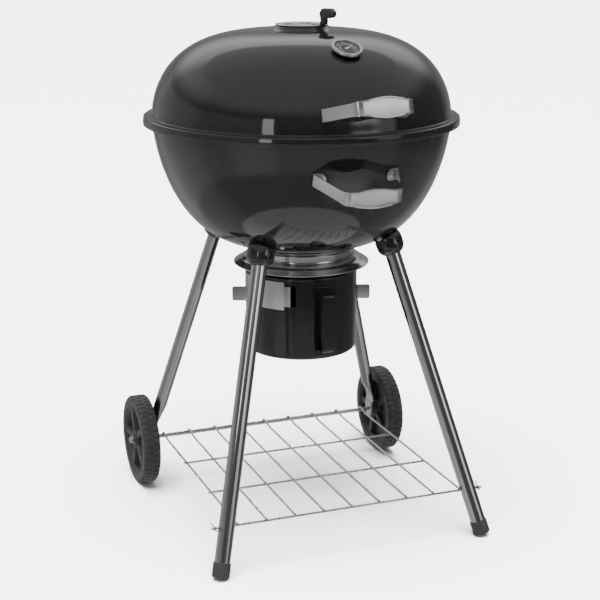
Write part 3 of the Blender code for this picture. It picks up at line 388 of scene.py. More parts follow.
def piece(name, grids, paint, body, nodes, smooth=32.0, tools=()):
    """A finished piece: its mesh, the holes cut in it, its finish, its body and its nodes."""
    made = bpy.data.objects.new(name, mesh_of(name, grids))
    bpy.context.scene.collection.objects.link(made)
    if tools:
        tool = bpy.data.objects.new("tool", mesh_of("tool", list(tools)))
        bpy.context.scene.collection.objects.link(tool)
        cut = made.modifiers.new("holes", "BOOLEAN")
        cut.solver = "EXACT"
        cut.object = tool
        bpy.context.view_layer.update()
        seen = made.evaluated_get(bpy.context.evaluated_depsgraph_get())
        done = bpy.data.meshes.new_from_object(seen)
        made.modifiers.clear()
        made.data = done
        bpy.data.objects.remove(tool)
    made.data.shade_smooth()
    made.data.set_sharp_from_angle(angle=np.radians(smooth))
    made.data.materials.clear()
    made.data.materials.append(paint())
    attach(made, body)
    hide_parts(*nodes)
    return made


# ---- finishes ------------------------------------------------------------------------------
def finish(name, colour, roughness, metallic=0.0, other=None, mottle=18.0, grain=None,
           vary=0.25, bump=0.0, peel=0.0, peel_scale=300.0, sockets=None):
    """A Principled finish whose grain lies along the piece and whose colour is mottled."""
    label = f"{name}_finish"
    if label in bpy.data.materials:
        return bpy.data.materials[label]
    made = bpy.data.materials.new(label)
    made.use_nodes = True
    nodes, links = made.node_tree.nodes, made.node_tree.links
    shader = nodes["Principled BSDF"]
    shader.inputs["Metallic"].default_value = metallic
    for socket, value in (sockets or {}).items():
        shader.inputs[socket].default_value = value
    place = nodes.new("ShaderNodeTexCoord")
    if grain is None:
        lie, scale = place.outputs["Object"], (1.0, 1.0, 1.0)
    else:
        lay = nodes.new("ShaderNodeAttribute")
        lay.attribute_name = "lay"
        lie, scale = lay.outputs["Vector"], grain
    mapping = nodes.new("ShaderNodeMapping")
    mapping.inputs["Scale"].default_value = scale
    links.new(lie, mapping.inputs["Vector"])
    lines = nodes.new("ShaderNodeTexNoise")
    lines.inputs["Scale"].default_value = 1.0 if grain else 90.0
    lines.inputs["Detail"].default_value = 5.0
    lines.inputs["Roughness"].default_value = 0.65
    links.new(mapping.outputs["Vector"], lines.inputs["Vector"])
    spread = nodes.new("ShaderNodeMapRange")
    spread.inputs["From Min"].default_value = 0.30
    spread.inputs["From Max"].default_value = 0.70
    spread.inputs["To Min"].default_value = roughness * (1.0 - vary)
    spread.inputs["To Max"].default_value = roughness * (1.0 + vary)
    links.new(lines.outputs["Fac"], spread.inputs["Value"])
    links.new(spread.outputs["Result"], shader.inputs["Roughness"])
    clouds = nodes.new("ShaderNodeTexNoise")
    clouds.inputs["Scale"].default_value = mottle
    clouds.inputs["Detail"].default_value = 4.0
    links.new(place.outputs["Object"], clouds.inputs["Vector"])
    blend = nodes.new("ShaderNodeMix")
    blend.data_type = "RGBA"
    blend.inputs["A"].default_value = (*colour, 1.0)
    blend.inputs["B"].default_value = (*(other or [0.8 * c for c in colour]), 1.0)
    links.new(clouds.outputs["Fac"], blend.inputs["Factor"])
    links.new(blend.outputs["Result"], shader.inputs["Base Color"])
    normal = None
    for depth, source in ((bump, lines.outputs["Fac"]), (peel, None)):
        if not depth:
            continue
        if source is None:
            skin = nodes.new("ShaderNodeTexNoise")
            skin.inputs["Scale"].default_value = peel_scale
            skin.inputs["Detail"].default_value = 2.0
            links.new(place.outputs["Object"], skin.inputs["Vector"])
            source = skin.outputs["Fac"]
        relief = nodes.new("ShaderNodeBump")
        relief.inputs["Distance"].default_value = depth
        links.new(source, relief.inputs["Height"])
        if normal is not None:
            links.new(normal, relief.inputs["Normal"])
        normal = relief.outputs["Normal"]
    if normal is not None:
        links.new(normal, shader.inputs["Normal"])
    return made


def looks():
    """The colours that a user may change."""
    return bpy.context.scene.grill_colours


def black_enamel():
    """Deep glossy black with a slight orange peel, under a thin clear coat."""
    return finish("black_enamel", looks().enamel, looks().enamel_roughness, mottle=9.0, vary=0.35,
                  peel=0.000010, peel_scale=45.0, sockets={"Coat Weight": 0.25,
                                                           "Coat Roughness": 0.03})


def brushed_stainless():
    """Satin steel, brushed along the piece."""
    return finish("brushed_stainless", looks().stainless, 0.27, 1.0, mottle=40.0, vary=0.06,
                  grain=(8.0, 2600.0, 2600.0),
                  sockets={"Anisotropic": 0.5, "Anisotropic Rotation": 0.25})


def polished_steel():
    """Bright spun steel with fine rings round its axis."""
    return finish("polished_steel", looks().polished, 0.20, 1.0, mottle=30.0, vary=0.35,
                  grain=(4200.0, 30.0, 30.0), bump=0.0000003)


def chromed_tube():
    """Plated tube, drawn along its length."""
    return finish("chromed_tube", looks().chrome, 0.13, 1.0, mottle=22.0, vary=0.30,
                  grain=(6.0, 1500.0, 1500.0), bump=0.0000002)


def grate_chrome():
    """Plated wire with small pits."""
    return finish("grate_chrome", looks().chrome, 0.22, 1.0, mottle=60.0, vary=0.3,
                  peel=0.000002, peel_scale=700.0)


def zinc_steel():
    """Pale zinc on wires, bolts and nuts."""
    return finish("zinc_steel", looks().zinc, 0.30, 1.0, mottle=160.0, vary=0.4,
                  other=(0.50, 0.50, 0.50), peel=0.000002, peel_scale=900.0)


def vent_aluminium():
    """Dull aluminium with fine rings."""
    return finish("vent_aluminium", (0.72, 0.72, 0.72), 0.33, 1.0, mottle=60.0, vary=0.3,
                  grain=(3500.0, 40.0, 40.0), bump=0.0000005)


def black_grip():
    """Matt black moulding with a fine skin."""
    return finish("black_grip", (0.010, 0.010, 0.0105), 0.42, mottle=70.0, vary=0.2,
                  other=(0.015, 0.015, 0.0155), peel=0.00001, peel_scale=1400.0)


def wheel_plastic():
    """Dark grey moulded plastic."""
    return finish("wheel_plastic", looks().plastic, 0.42, mottle=45.0, vary=0.25,
                  other=(0.013, 0.012, 0.012), peel=0.00001, peel_scale=1100.0)


def gloss_black():
    """Shiny black moulding of the sockets."""
    return finish("gloss_black", (0.004, 0.004, 0.0042), 0.07, mottle=40.0, vary=0.12,
                  peel=0.0000008, peel_scale=90.0, sockets={"Coat Weight": 0.5,
                                                          "Coat Roughness": 0.05})


def dial_print():
    """The dial's dark printed plate."""
    return finish("dial_print", (0.007, 0.007, 0.0075), 0.5, mottle=300.0, vary=0.2,
                  other=(0.012, 0.012, 0.0125))


def needle_paint():
    """Pale paint of the needle and the dial's marks."""
    return finish("needle_paint", (0.20, 0.20, 0.195), 0.45, mottle=500.0, vary=0.2)


def dial_glass():
    """Clear pane, thin enough to see the dial through."""
    return finish("dial_glass", (0.02, 0.02, 0.02), 0.03, other=(0.03, 0.03, 0.03), vary=0.2,
                  sockets={"Alpha": 0.12, "IOR": 1.45})


# ---- what a user may change ----------------------------------------------------------------
class GrillSizes(bpy.types.PropertyGroup):
    """Sizes of the details that the frame leaves open."""
    around: bpy.props.IntProperty(
        name="Steps round the kettle", description="Columns of the lid's and bowl's surfaces",
        default=176, min=48, max=400)
    handle_hem: bpy.props.FloatProperty(
        name="Handle hem", description="How far a handle's long edges are folded back",
        default=0.0042, min=0.0, max=0.008, subtype="DISTANCE", unit="LENGTH")
    tread_blocks: bpy.props.IntProperty(
        name="Tread blocks", description="Blocks round one row of a wheel's tread",
        default=46, min=12, max=80)
    tread_depth: bpy.props.FloatProperty(
        name="Tread depth", description="Depth of the grooves between the blocks",
        default=0.0022, min=0.0, max=0.005, subtype="DISTANCE", unit="LENGTH")
    pockets: bpy.props.IntProperty(
        name="Wheel pockets", description="Recesses between the spokes of a wheel's outer face",
        default=5, min=3, max=12)


class GrillColours(bpy.types.PropertyGroup):
    """Colours and gloss of the finishes."""
    enamel: bpy.props.FloatVectorProperty(
        name="Enamel", description="Colour of lid, bowl and ash bucket", subtype="COLOR",
        default=(0.0036, 0.0036, 0.0037), min=0.0, max=1.0)
    enamel_roughness: bpy.props.FloatProperty(
        name="Enamel roughness", description="0 is a mirror, 1 is chalk", default=0.05,
        min=0.0, max=1.0, subtype="FACTOR")
    stainless: bpy.props.FloatVectorProperty(
        name="Stainless", description="Colour of handles and shutters", subtype="COLOR",
        default=(0.72, 0.71, 0.70), min=0.0, max=1.0)
    polished: bpy.props.FloatVectorProperty(
        name="Polished steel", description="Colour of the collar and its brim",
        subtype="COLOR", default=(0.62, 0.61, 0.60), min=0.0, max=1.0)
    chrome: bpy.props.FloatVectorProperty(
        name="Plated tube", description="Colour of the legs and grates", subtype="COLOR",
        default=(0.58, 0.57, 0.565), min=0.0, max=1.0)
    zinc: bpy.props.FloatVectorProperty(
        name="Zinc", description="Colour of wires, bolts and nuts", subtype="COLOR",
        default=(0.64, 0.64, 0.64), min=0.0, max=1.0)
    plastic: bpy.props.FloatVectorProperty(
        name="Wheel plastic", description="Colour of the wheels", subtype="COLOR",
        default=(0.011, 0.0105, 0.0105), min=0.0, max=1.0)


class GrillStudio(bpy.types.PropertyGroup):
    """Floor and light."""
    floor: bpy.props.FloatVectorProperty(
        name="Floor", description="Colour of the floor", subtype="COLOR",
        default=(0.93, 0.93, 0.93), min=0.0, max=1.0)
    backdrop: bpy.props.FloatProperty(
        name="Backdrop", description="Brightness of the plain backdrop past the floor",
        default=5.0, min=0.0, max=20.0)
    key: bpy.props.FloatProperty(
        name="Key light", description="Strength of the high soft light", default=20.0, min=0.0,
        max=50.0)
    room: bpy.props.FloatProperty(
        name="Room", description="Brightness of the dim room round the grill", default=0.10,
        min=0.0, max=10.0)
    ceiling: bpy.props.FloatProperty(
        name="Ceiling", description="Brightness overhead", default=0.62, min=0.0, max=10.0)
    sweep: bpy.props.FloatProperty(
        name="Sweep", description="Brightness of the high sweep behind", default=0.60,
        min=0.0, max=10.0)
    left: bpy.props.FloatProperty(
        name="Left side", description="Brightness of the left of the room", default=0.27,
        min=0.0, max=10.0)
    below: bpy.props.FloatProperty(
        name="Low", description="Brightness of what polished metal sees below it", default=0.85,
        min=0.0, max=10.0)


def sizes():
    """The sizes that a user may change."""
    return bpy.context.scene.grill_sizes


# ---- pieces --------------------------------------------------------------------------------
class GrillPiece:
    """What every piece's operator has in common."""
    bl_options = {"REGISTER", "UNDO"}

    def execute(self, context):
        self.build()
        return {"FINISHED"}


def thermometer_profile(points):
    """(radius, height above the lid along the thermometer's axis) points, made a surface."""
    return turned(points, 72, DIAL_BASE, NEEDLE_AXIS)


def vent_drills(below, above, sides):
    """Four rods through the damper's seat, between a depth and a height of it."""
    drills = []
    for azimuth in np.radians(45.0 + 90.0 * np.arange(4)):
        at = outwards(azimuth, (VENT_HOLE_OUT, LID_TOP))
        drills.append(ball(on_lid(rod(at - below * UP, at + above * UP, VENT_HOLE_R, sides))))
    return drills


class GRILL_OT_lid(GrillPiece, bpy.types.Operator):
    """The domed lid: flat vent seat, superellipse dome, ledge, skirt and a rolled hem"""
    bl_idname = "grill.lid"
    bl_label = "Lid"

    def build(self):
        seat = VENT_R + 0.002
        dome = superellipse(KETTLE_R, LID_RISE, LID_POWERS, 90, 0.055) + (0.0, RIM_Z)
        dome = dome[dome[:, 0] > seat + 0.008]
        hem = 0.0011
        low = [(KETTLE_R + 0.0005, SKIRT_TOP + 0.0016), (KETTLE_R + 0.0045, SKIRT_TOP + 0.0010),
               (LIP_R - 0.0005, SKIRT_TOP), (LIP_R, SKIRT_LOW + 0.0060),
               (LIP_R - 0.0002, SKIRT_LOW + 0.0028)]
        low = soften(np.vstack([dome[-3:-2], low]), [0, 0.0018, 0.0022, 0.0030, 0.001, 0], 7, False)
        top = soften([(0.0, LID_TOP), (seat - 0.002, LID_TOP),
                      (seat + 0.004, RIM_Z + LID_RISE - 0.0002), tuple(dome[0])],
                     [0, 0.003, 0.003, 0], 7, False)
        outer = np.vstack([top[:-1], dome[:-3], low])
        inner = inset(outer, -SHEET)
        inner[0, 0] = 0.0
        turn = np.radians(np.linspace(60.0, -240.0, 14)[:11])
        edge = np.stack([LIP_R - hem + hem * np.cos(turn),
                         SKIRT_LOW + hem + hem * np.sin(turn)], -1)
        profile = np.vstack([outer, edge, inner[::-1]])
        shell = on_lid(turned(profile, sizes().around))
        piece("lid_dome", [ball(shell)], black_enamel, LID, ["lid_shell"], 40.0,
              vent_drills(0.01, 0.01, 32))


class GRILL_OT_bowl(GrillPiece, bpy.types.Operator):
    """The deep bowl with its rolled edge and its ash holes"""
    bl_idname = "grill.bowl"
    bl_label = "Bowl"

    def build(self):
        flip = np.array([1.0, -1.0])
        outer = superellipse(KETTLE_R, BOWL_DEPTH, BOWL_POWERS, 90, 0.10) * flip + (0.0, RIM_Z)
        inner = superellipse(KETTLE_R - SHEET, BOWL_DEPTH - SHEET, BOWL_POWERS, 90, 0.06)
        inner = inner * flip + (0.0, RIM_Z)
        turn = np.radians(np.linspace(175.0, -150.0, 22))
        bead = np.stack([KETTLE_R + 0.0060 + 0.0065 * np.cos(turn),
                         RIM_Z - 0.0055 + 0.0065 * np.sin(turn)], -1)
        shell = on_kettle(turned(np.vstack([inner, bead, outer[::-1]]), sizes().around))
        low = RIM_Z - BOWL_DEPTH
        drills = []
        for k, turn in enumerate(np.append(0.0, 2.0 * np.pi * np.arange(8) / 8)):
            r = 0.062 if k else 0.0
            at = np.array([r * np.cos(turn), r * np.sin(turn), low])
            drills.append(ball(on_kettle(rod(at - 0.012 * UP, at + 0.012 * UP, 0.011, 28))))
        piece("bowl_body", [ball(shell)], black_enamel, STAND, ["bowl_shell"], 40.0, drills)


def handle_surface(z, wall, normal, hem):
    """A bent bar: foot, leg, swelling grip, leg, foot, tilted to stand square to the wall."""
    stand = HANDLE_STRIP / 2 + 0.0008
    inner = HANDLE_SPAN - HANDLE_FOOT
    foot_x = np.array([inner, (inner + HANDLE_SPAN) / 2, HANDLE_SPAN - 0.001])
    foot_y = np.sqrt(wall ** 2 - foot_x ** 2) + stand
    base = np.sqrt(wall ** 2 - HANDLE_SPAN ** 2) + stand
    reach = base + HANDLE_REACH
    right = np.array([*zip(foot_x, foot_y), (HANDLE_GRIP, reach)])
    corners = np.vstack([right, (right * (-1.0, 1.0))[::-1]])
    radii = [0, 0, 0.0045, 0.0105, 0.0105, 0.0045, 0, 0]
    flat = resample(soften(corners, radii, 9, False), 0.0011)
    path = np.stack([flat[:, 0], base - flat[:, 1], 0.0 * flat[:, 0]], -1)
    on_grip = step_up(flat[:, 1], reach - 0.016, reach - 0.002)
    share = np.minimum(1.0, np.abs(flat[:, 0]) / HANDLE_GRIP)
    swell = 0.0245 + 0.0110 * (0.5 + 0.5 * np.cos(np.pi * share))
    width = 0.0215 + (swell - 0.0215) * on_grip
    fold = 1.0 - step_up(np.abs(flat[:, 0]), HANDLE_GRIP - 0.018, HANDLE_GRIP - 0.009)
    end = np.minimum(np.arange(len(flat)), np.arange(len(flat))[::-1]) * 0.0011
    width = width * np.sqrt(np.clip(1.0 - (1.0 - np.minimum(end / 0.008, 1.0)) ** 2, 0.05, 1.0))
    section = channel(width, HANDLE_STRIP, HANDLE_STRIP + hem * fold * on_grip)
    section = section + (0.0, HANDLE_STRIP / 2)
    surface = carried(path, UP, section)
    lift = -np.arctan2(normal[1], normal[0])
    c, s = np.cos(lift), np.sin(lift)
    surface = surface @ np.array([[1, 0, 0], [0, c, s], [0, -s, c]])
    return surface + (0.0, -base, z)


def bolt_surfaces(at, direction, stack, head=0.0052, shank=0.0025):
    """A domed bolt and its hexagonal nut, on one axis through a stack of sheets."""
    direction = unit(direction)
    dome = np.radians(np.linspace(90.0, 0.0, 9))
    cap = np.stack([head * np.cos(dome), 0.0004 + 0.0030 * np.sin(dome)], -1)
    shaft = np.vstack([cap, [(head, 0.0), (shank, 0.0), (shank, -stack - 0.0052),
                             (0.0, -stack - 0.0056)]])
    nut = [(shank + 0.0001, -stack), (0.0044, -stack), (0.0049, -stack - 0.0006),
           (0.0049, -stack - 0.0034), (0.0044, -stack - 0.0040), (shank + 0.0001, -stack - 0.0040)]
    return [ball(turned(shaft, 28, at, direction)), ring(turned(nut, 6, at, direction))]


def wall_bolts(z, azimuths, rise, powers, flip, stack, place, lift):
    """Bolts at one height of the kettle's wall, square to it."""
    h = abs(z - RIM_Z)
    r = shell_radius(h, rise, powers)
    parts = shell_normal(r, h, rise, powers) * (1.0, flip)
    grids = []
    for azimuth in azimuths:
        direction = outwards(azimuth, parts)
        at = np.array([r * np.sin(azimuth), -r * np.cos(azimuth), z]) + direction * lift
        for points, loop, ends in bolt_surfaces(at, direction, stack):
            grids.append((place(points), loop, ends))
    return grids


class GRILL_OT_handles(GrillPiece, bpy.types.Operator):
    """Both bent handles: a brushed bar with folded edges, bowed out in the middle"""
    bl_idname = "grill.handles"
    bl_label = "Handles"

    def build(self):
        both = (("lid", LID_HANDLE_Z, LID_RISE, LID_POWERS, 1.0, on_lid, LID),
                ("bowl", BOWL_HANDLE_Z, BOWL_DEPTH, BOWL_POWERS, -1.0, on_kettle, STAND))
        for name, z, rise, powers, flip, place, body in both:
            h = abs(z - RIM_Z)
            wall = shell_radius(h, rise, powers)
            normal = shell_normal(wall, h, rise, powers) * (1.0, flip)
            surface = place(handle_surface(z, wall, normal, sizes().handle_hem))
            piece(f"{name}_grip_bar", [bar(surface)], brushed_stainless, body, [f"{name}_handle"])
            azimuth = np.arcsin((HANDLE_SPAN - HANDLE_FOOT + 0.0095) / wall)
            grids = wall_bolts(z, (-azimuth, azimuth), rise, powers, flip, 0.0065, place,
                               HANDLE_STRIP + 0.0010)
            piece(f"{name}_grip_bolts", grids, zinc_steel, body,
                  [f"{name}_handle_bolt_left", f"{name}_handle_bolt_right"])


class GRILL_OT_lid_vent(GrillPiece, bpy.types.Operator):
    """The lid's damper: a pressed disc with four holes, its rivet and its moulded grip"""
    bl_idname = "grill.lid_vent"
    bl_label = "Lid vent"

    def build(self):
        low = LID_TOP + GAP
        rise = [(0.0038, 0.0014), (0.0090, 0.0014), (0.0120, 0.0006), (0.0390, 0.0006),
                (0.0425, 0.0022), (0.0462, 0.0024), (0.0484, 0.0012), (0.0476, 0.0)]
        upper = soften(rise, [0, 0.0012, 0.0012, 0.0015, 0.0012, 0.0012, 0.0005, 0], 5, False)
        lower = inset(upper, -0.0006)
        lower[:, 1] = np.maximum(lower[:, 1], 0.0)
        profile = np.vstack([upper + (0, 0.0004), lower[::-1]]) + (0.0, low)
        disc = on_lid(turned(profile, 120))
        piece("vent_disc", [ring(disc)], vent_aluminium, "lid_vent", ["lid_vent_disc"], 30.0,
              vent_drills(0.004, 0.01, 36))
        top = low + 0.0018 + GAP
        head = [(0.0, top + 0.0027), (0.0040, top + 0.0022), (0.0068, top + 0.0003), (0.0068, top),
                (0.0034, top), (0.0034, LID_TOP - 0.0016), (0.0058, LID_TOP - 0.0016),
                (0.0055, LID_TOP - 0.0030), (0.0, LID_TOP - 0.0030)]
        head = soften(head, [0, 0.0015, 0.0003, 0.0001, 0.0001, 0.0001, 0.0005, 0.0005, 0], 5,
                      False)
        piece("vent_rivet", [ball(on_lid(turned(head, 40)))], zinc_steel, LID, ["lid_vent_rivet"])
        outline = [(0.0415, 0.0), (0.0500, 0.0), (0.0520, 0.0058), (0.0500, 0.0088),
                   (0.0555, 0.0128), (0.0640, 0.0115), (0.0690, 0.0155), (0.0695, 0.0225),
                   (0.0640, 0.0285), (0.0455, 0.0285), (0.0405, 0.0200), (0.0430, 0.0120),
                   (0.0435, 0.0065)]
        outline = soften(outline, [.0006, .0006, .002, .002, .0015, .0015, .001, .001, .001, .001,
                                   .001, .002, .002], 5)
        width = 0.0075
        depth = np.array([-width, -width + 0.0004, -width + 0.0012, width - 0.0012,
                          width - 0.0004, width])
        shrink = np.array([0.0013, 0.0004, 0.0, 0.0, 0.0004, 0.0013])
        middle = outline.mean(0)
        slim = 1.0 - shrink[:, None, None] / 0.010
        rows = middle + (outline - middle) * slim
        out = outwards(VENT_GRIP_TURN, (1.0, 0.0))
        side = level_way(VENT_GRIP_TURN)
        tab = (rows[..., :1] * out + rows[..., 1:] * UP + depth[:, None, None] * side
               + (low + 0.0026 + GAP) * UP)
        piece("vent_grip", [bar(on_lid(tab))], black_grip, "lid_vent", ["lid_vent_tab"], 50.0)


class GRILL_OT_thermometer(GrillPiece, bpy.types.Operator):
    """The dial thermometer: case, printed plate with its marks, needle, glass, stem and nut"""
    bl_idname = "grill.thermometer"
    bl_label = "Thermometer"

    def build(self):
        floor = DIAL_HEIGHT - 0.0050
        bore = DIAL_R - 0.0055
        top = DIAL_HEIGHT
        case = [(0.0, floor), (bore, floor), (bore, top - 0.0012), (bore + 0.0014, top),
                (DIAL_R - 0.0014, top), (DIAL_R, top - 0.0020), (DIAL_R, 0.0042),
                (DIAL_R - 0.004, 0.0010), (0.0, 0.0010)]
        case = soften(case, [0, .0003, .0006, .0008, .0012, .0012, .002, .001, 0], 6, False)
        piece("dial_case", [ball(thermometer_profile(case))], brushed_stainless, LID,
              ["thermometer_case"])
        inside = bore - GAP
        plate = [(0.0, floor + 0.0010), (inside, floor + 0.0010), (inside, floor + GAP),
                 (0.0, floor + GAP)]
        piece("dial_plate", [ball(thermometer_profile(plate))], dial_print, LID,
              ["thermometer_dial"])
        level = unit(np.cross(NEEDLE_AXIS, UP)) * -1.0
        high = np.cross(NEEDLE_AXIS, level) * -1.0
        base = DIAL_BASE + NEEDLE_AXIS * (floor + 0.00115)
        if high[2] < 0:
            high = -high
        marks = []
        for k in range(31):
            turn = np.radians(-135.0 + 270.0 * k / 30)
            way = np.sin(turn) * level + np.cos(turn) * high
            long = k % 5 == 0
            start = base + way * (0.0150 if long else 0.0172)
            end = base + way * 0.0196
            path = np.stack([start, end])
            marks.append(bar(carried(path, np.cross(NEEDLE_AXIS, way),
                                     slab(0.0011 if long else 0.0006, 0.00025))))
        band = []
        for first, last in ((-135.0, -20.0), (-15.0, 60.0), (65.0, 135.0)):
            turn = np.radians(np.linspace(first, last, 40))[:, None]
            arc = base + 0.0125 * (np.sin(turn) * level + np.cos(turn) * high)
            band.append(bar(carried(arc, NEEDLE_AXIS, slab(0.00025, 0.0009))))
        piece("dial_marks", marks + band, needle_paint, LID, [])
        pane = DIAL_HEIGHT - 0.0028
        glass = [(0.0, pane + 0.0011), (inside - 0.002, pane + 0.0009), (inside, pane + 0.0007),
                 (inside, pane), (0.0, pane)]
        piece("dial_glass_pane", [ball(thermometer_profile(glass))], dial_glass, LID,
              ["thermometer_glass"])
        stem = [(0.0, 0.0), (0.0030, 0.0), (0.0030, -0.056), (0.0, -0.060)]
        piece("probe", [ball(thermometer_profile(stem))], polished_steel, LID,
              ["thermometer_stem"])
        under = -SHEET - 0.0004
        nut = [(0.0034, under), (0.0072, under), (0.0080, under - 0.0008), (0.0080, under - 0.0045),
               (0.0072, under - 0.0053), (0.0034, under - 0.0053)]
        piece("probe_nut", [ring(turned(nut, 6, DIAL_BASE, NEEDLE_AXIS))], zinc_steel, LID,
              ["thermometer_nut"])
        turn = np.radians(150.0)
        way = np.cos(turn) * level * -1.0 + np.sin(turn) * high
        lift = NEEDLE_AXIS * (floor + 0.00165)
        run = np.array([-0.0060, -0.0020, 0.0, 0.0120, 0.0158])
        wide = np.array([0.0016, 0.0016, 0.0020, 0.0012, 0.0004])
        needle = carried(DIAL_BASE + lift + run[:, None] * way, np.cross(NEEDLE_AXIS, way),
                         slab(wide, 0.0004))
        boss = turned([(0.0, 0.0006), (0.0018, 0.0005), (0.0024, 0.0), (0.0, 0.0)], 32,
                      DIAL_BASE + lift, NEEDLE_AXIS)
        piece("dial_needle", [bar(needle), ball(boss)], needle_paint, "needle",
              ["thermometer_needle"])


def leg_ends(side, end):
    """Top point and downward unit direction of a leg."""
    top = LEG_TOP * (side, end, 1.0)
    if end < 0:
        foot = FRONT_FOOT * (side, end, 1.0)
    else:
        foot = np.array([side * LEG_END_X, AXLE[1] - KETTLE_Y - 0.006, AXLE[2] + 0.030])
    return top, unit(foot - top)


def inside_bowl(points, clear=0.0002):
    """True where a point lies inside the bowl's outer face, grown by a clearance."""
    r = np.linalg.norm(points[..., :2], axis=-1) / (KETTLE_R + clear)
    h = np.clip(RIM_Z - points[..., 2], 0.0, None) / (BOWL_DEPTH + clear)
    return r ** BOWL_POWERS[0] + h ** BOWL_POWERS[1] < 1.0


class GRILL_OT_sockets(GrillPiece, bpy.types.Operator):
    """The four rounded cups that hold the legs; what would enter the bowl slides down the leg"""
    bl_idname = "grill.sockets"
    bl_label = "Leg sockets"

    def build(self):
        for name, side, end in CORNERS:
            top, down = leg_ends(side, end)
            tube = (FRONT_TUBE_R if end < 0 else REAR_TUBE_R) + 0.0006
            along = np.radians(np.linspace(90.0, -90.0, 60))
            s, c = np.sin(along), np.cos(along)
            power = 2.0 / 2.7
            cup = np.stack([0.0255 * np.clip(c, 0, 1) ** power,
                            0.0250 * np.sign(s) * np.abs(s) ** power], -1)
            cup = cup[: np.argmax((cup[:, 0] < tube) & (s < 0))]
            lip = [(tube + 0.0010, cup[-1, 1] - 0.0002), (tube, cup[-1, 1] + 0.0010),
                   (tube, 0.0), (0.0, 0.0)]
            profile = np.vstack([cup, lip])
            points = turned(profile, 64, top - down * 0.030, -down)
            low, high = np.zeros(points.shape[:2]), np.full(points.shape[:2], 0.09)
            for _ in range(28):
                half = (low + high) / 2
                inside = inside_bowl(points + half[..., None] * down)
                low, high = np.where(inside, half, low), np.where(inside, high, half)
            slide = np.where(inside_bowl(points), high, 0.0)
            points = on_kettle(points + slide[..., None] * down)
            piece(f"socket_{name}", [ball(points)], gloss_black, STAND, [f"leg_socket_{name}"],
                  48.0)
            middle = top - down * 0.030
            r = np.hypot(*middle[:2])
            azimuth = np.arctan2(middle[0], -middle[1])
            h = shell_height(r, BOWL_DEPTH, BOWL_POWERS)
            grids = wall_bolts(RIM_Z - h, (azimuth - 0.040 / r, azimuth + 0.040 / r), BOWL_DEPTH,
                               BOWL_POWERS, -1.0, 0.0022, on_kettle, 0.0006)
            piece(f"socket_bolts_{name}", grids, zinc_steel, STAND,
                  [f"socket_bolt_{name}_a", f"socket_bolt_{name}_b"])


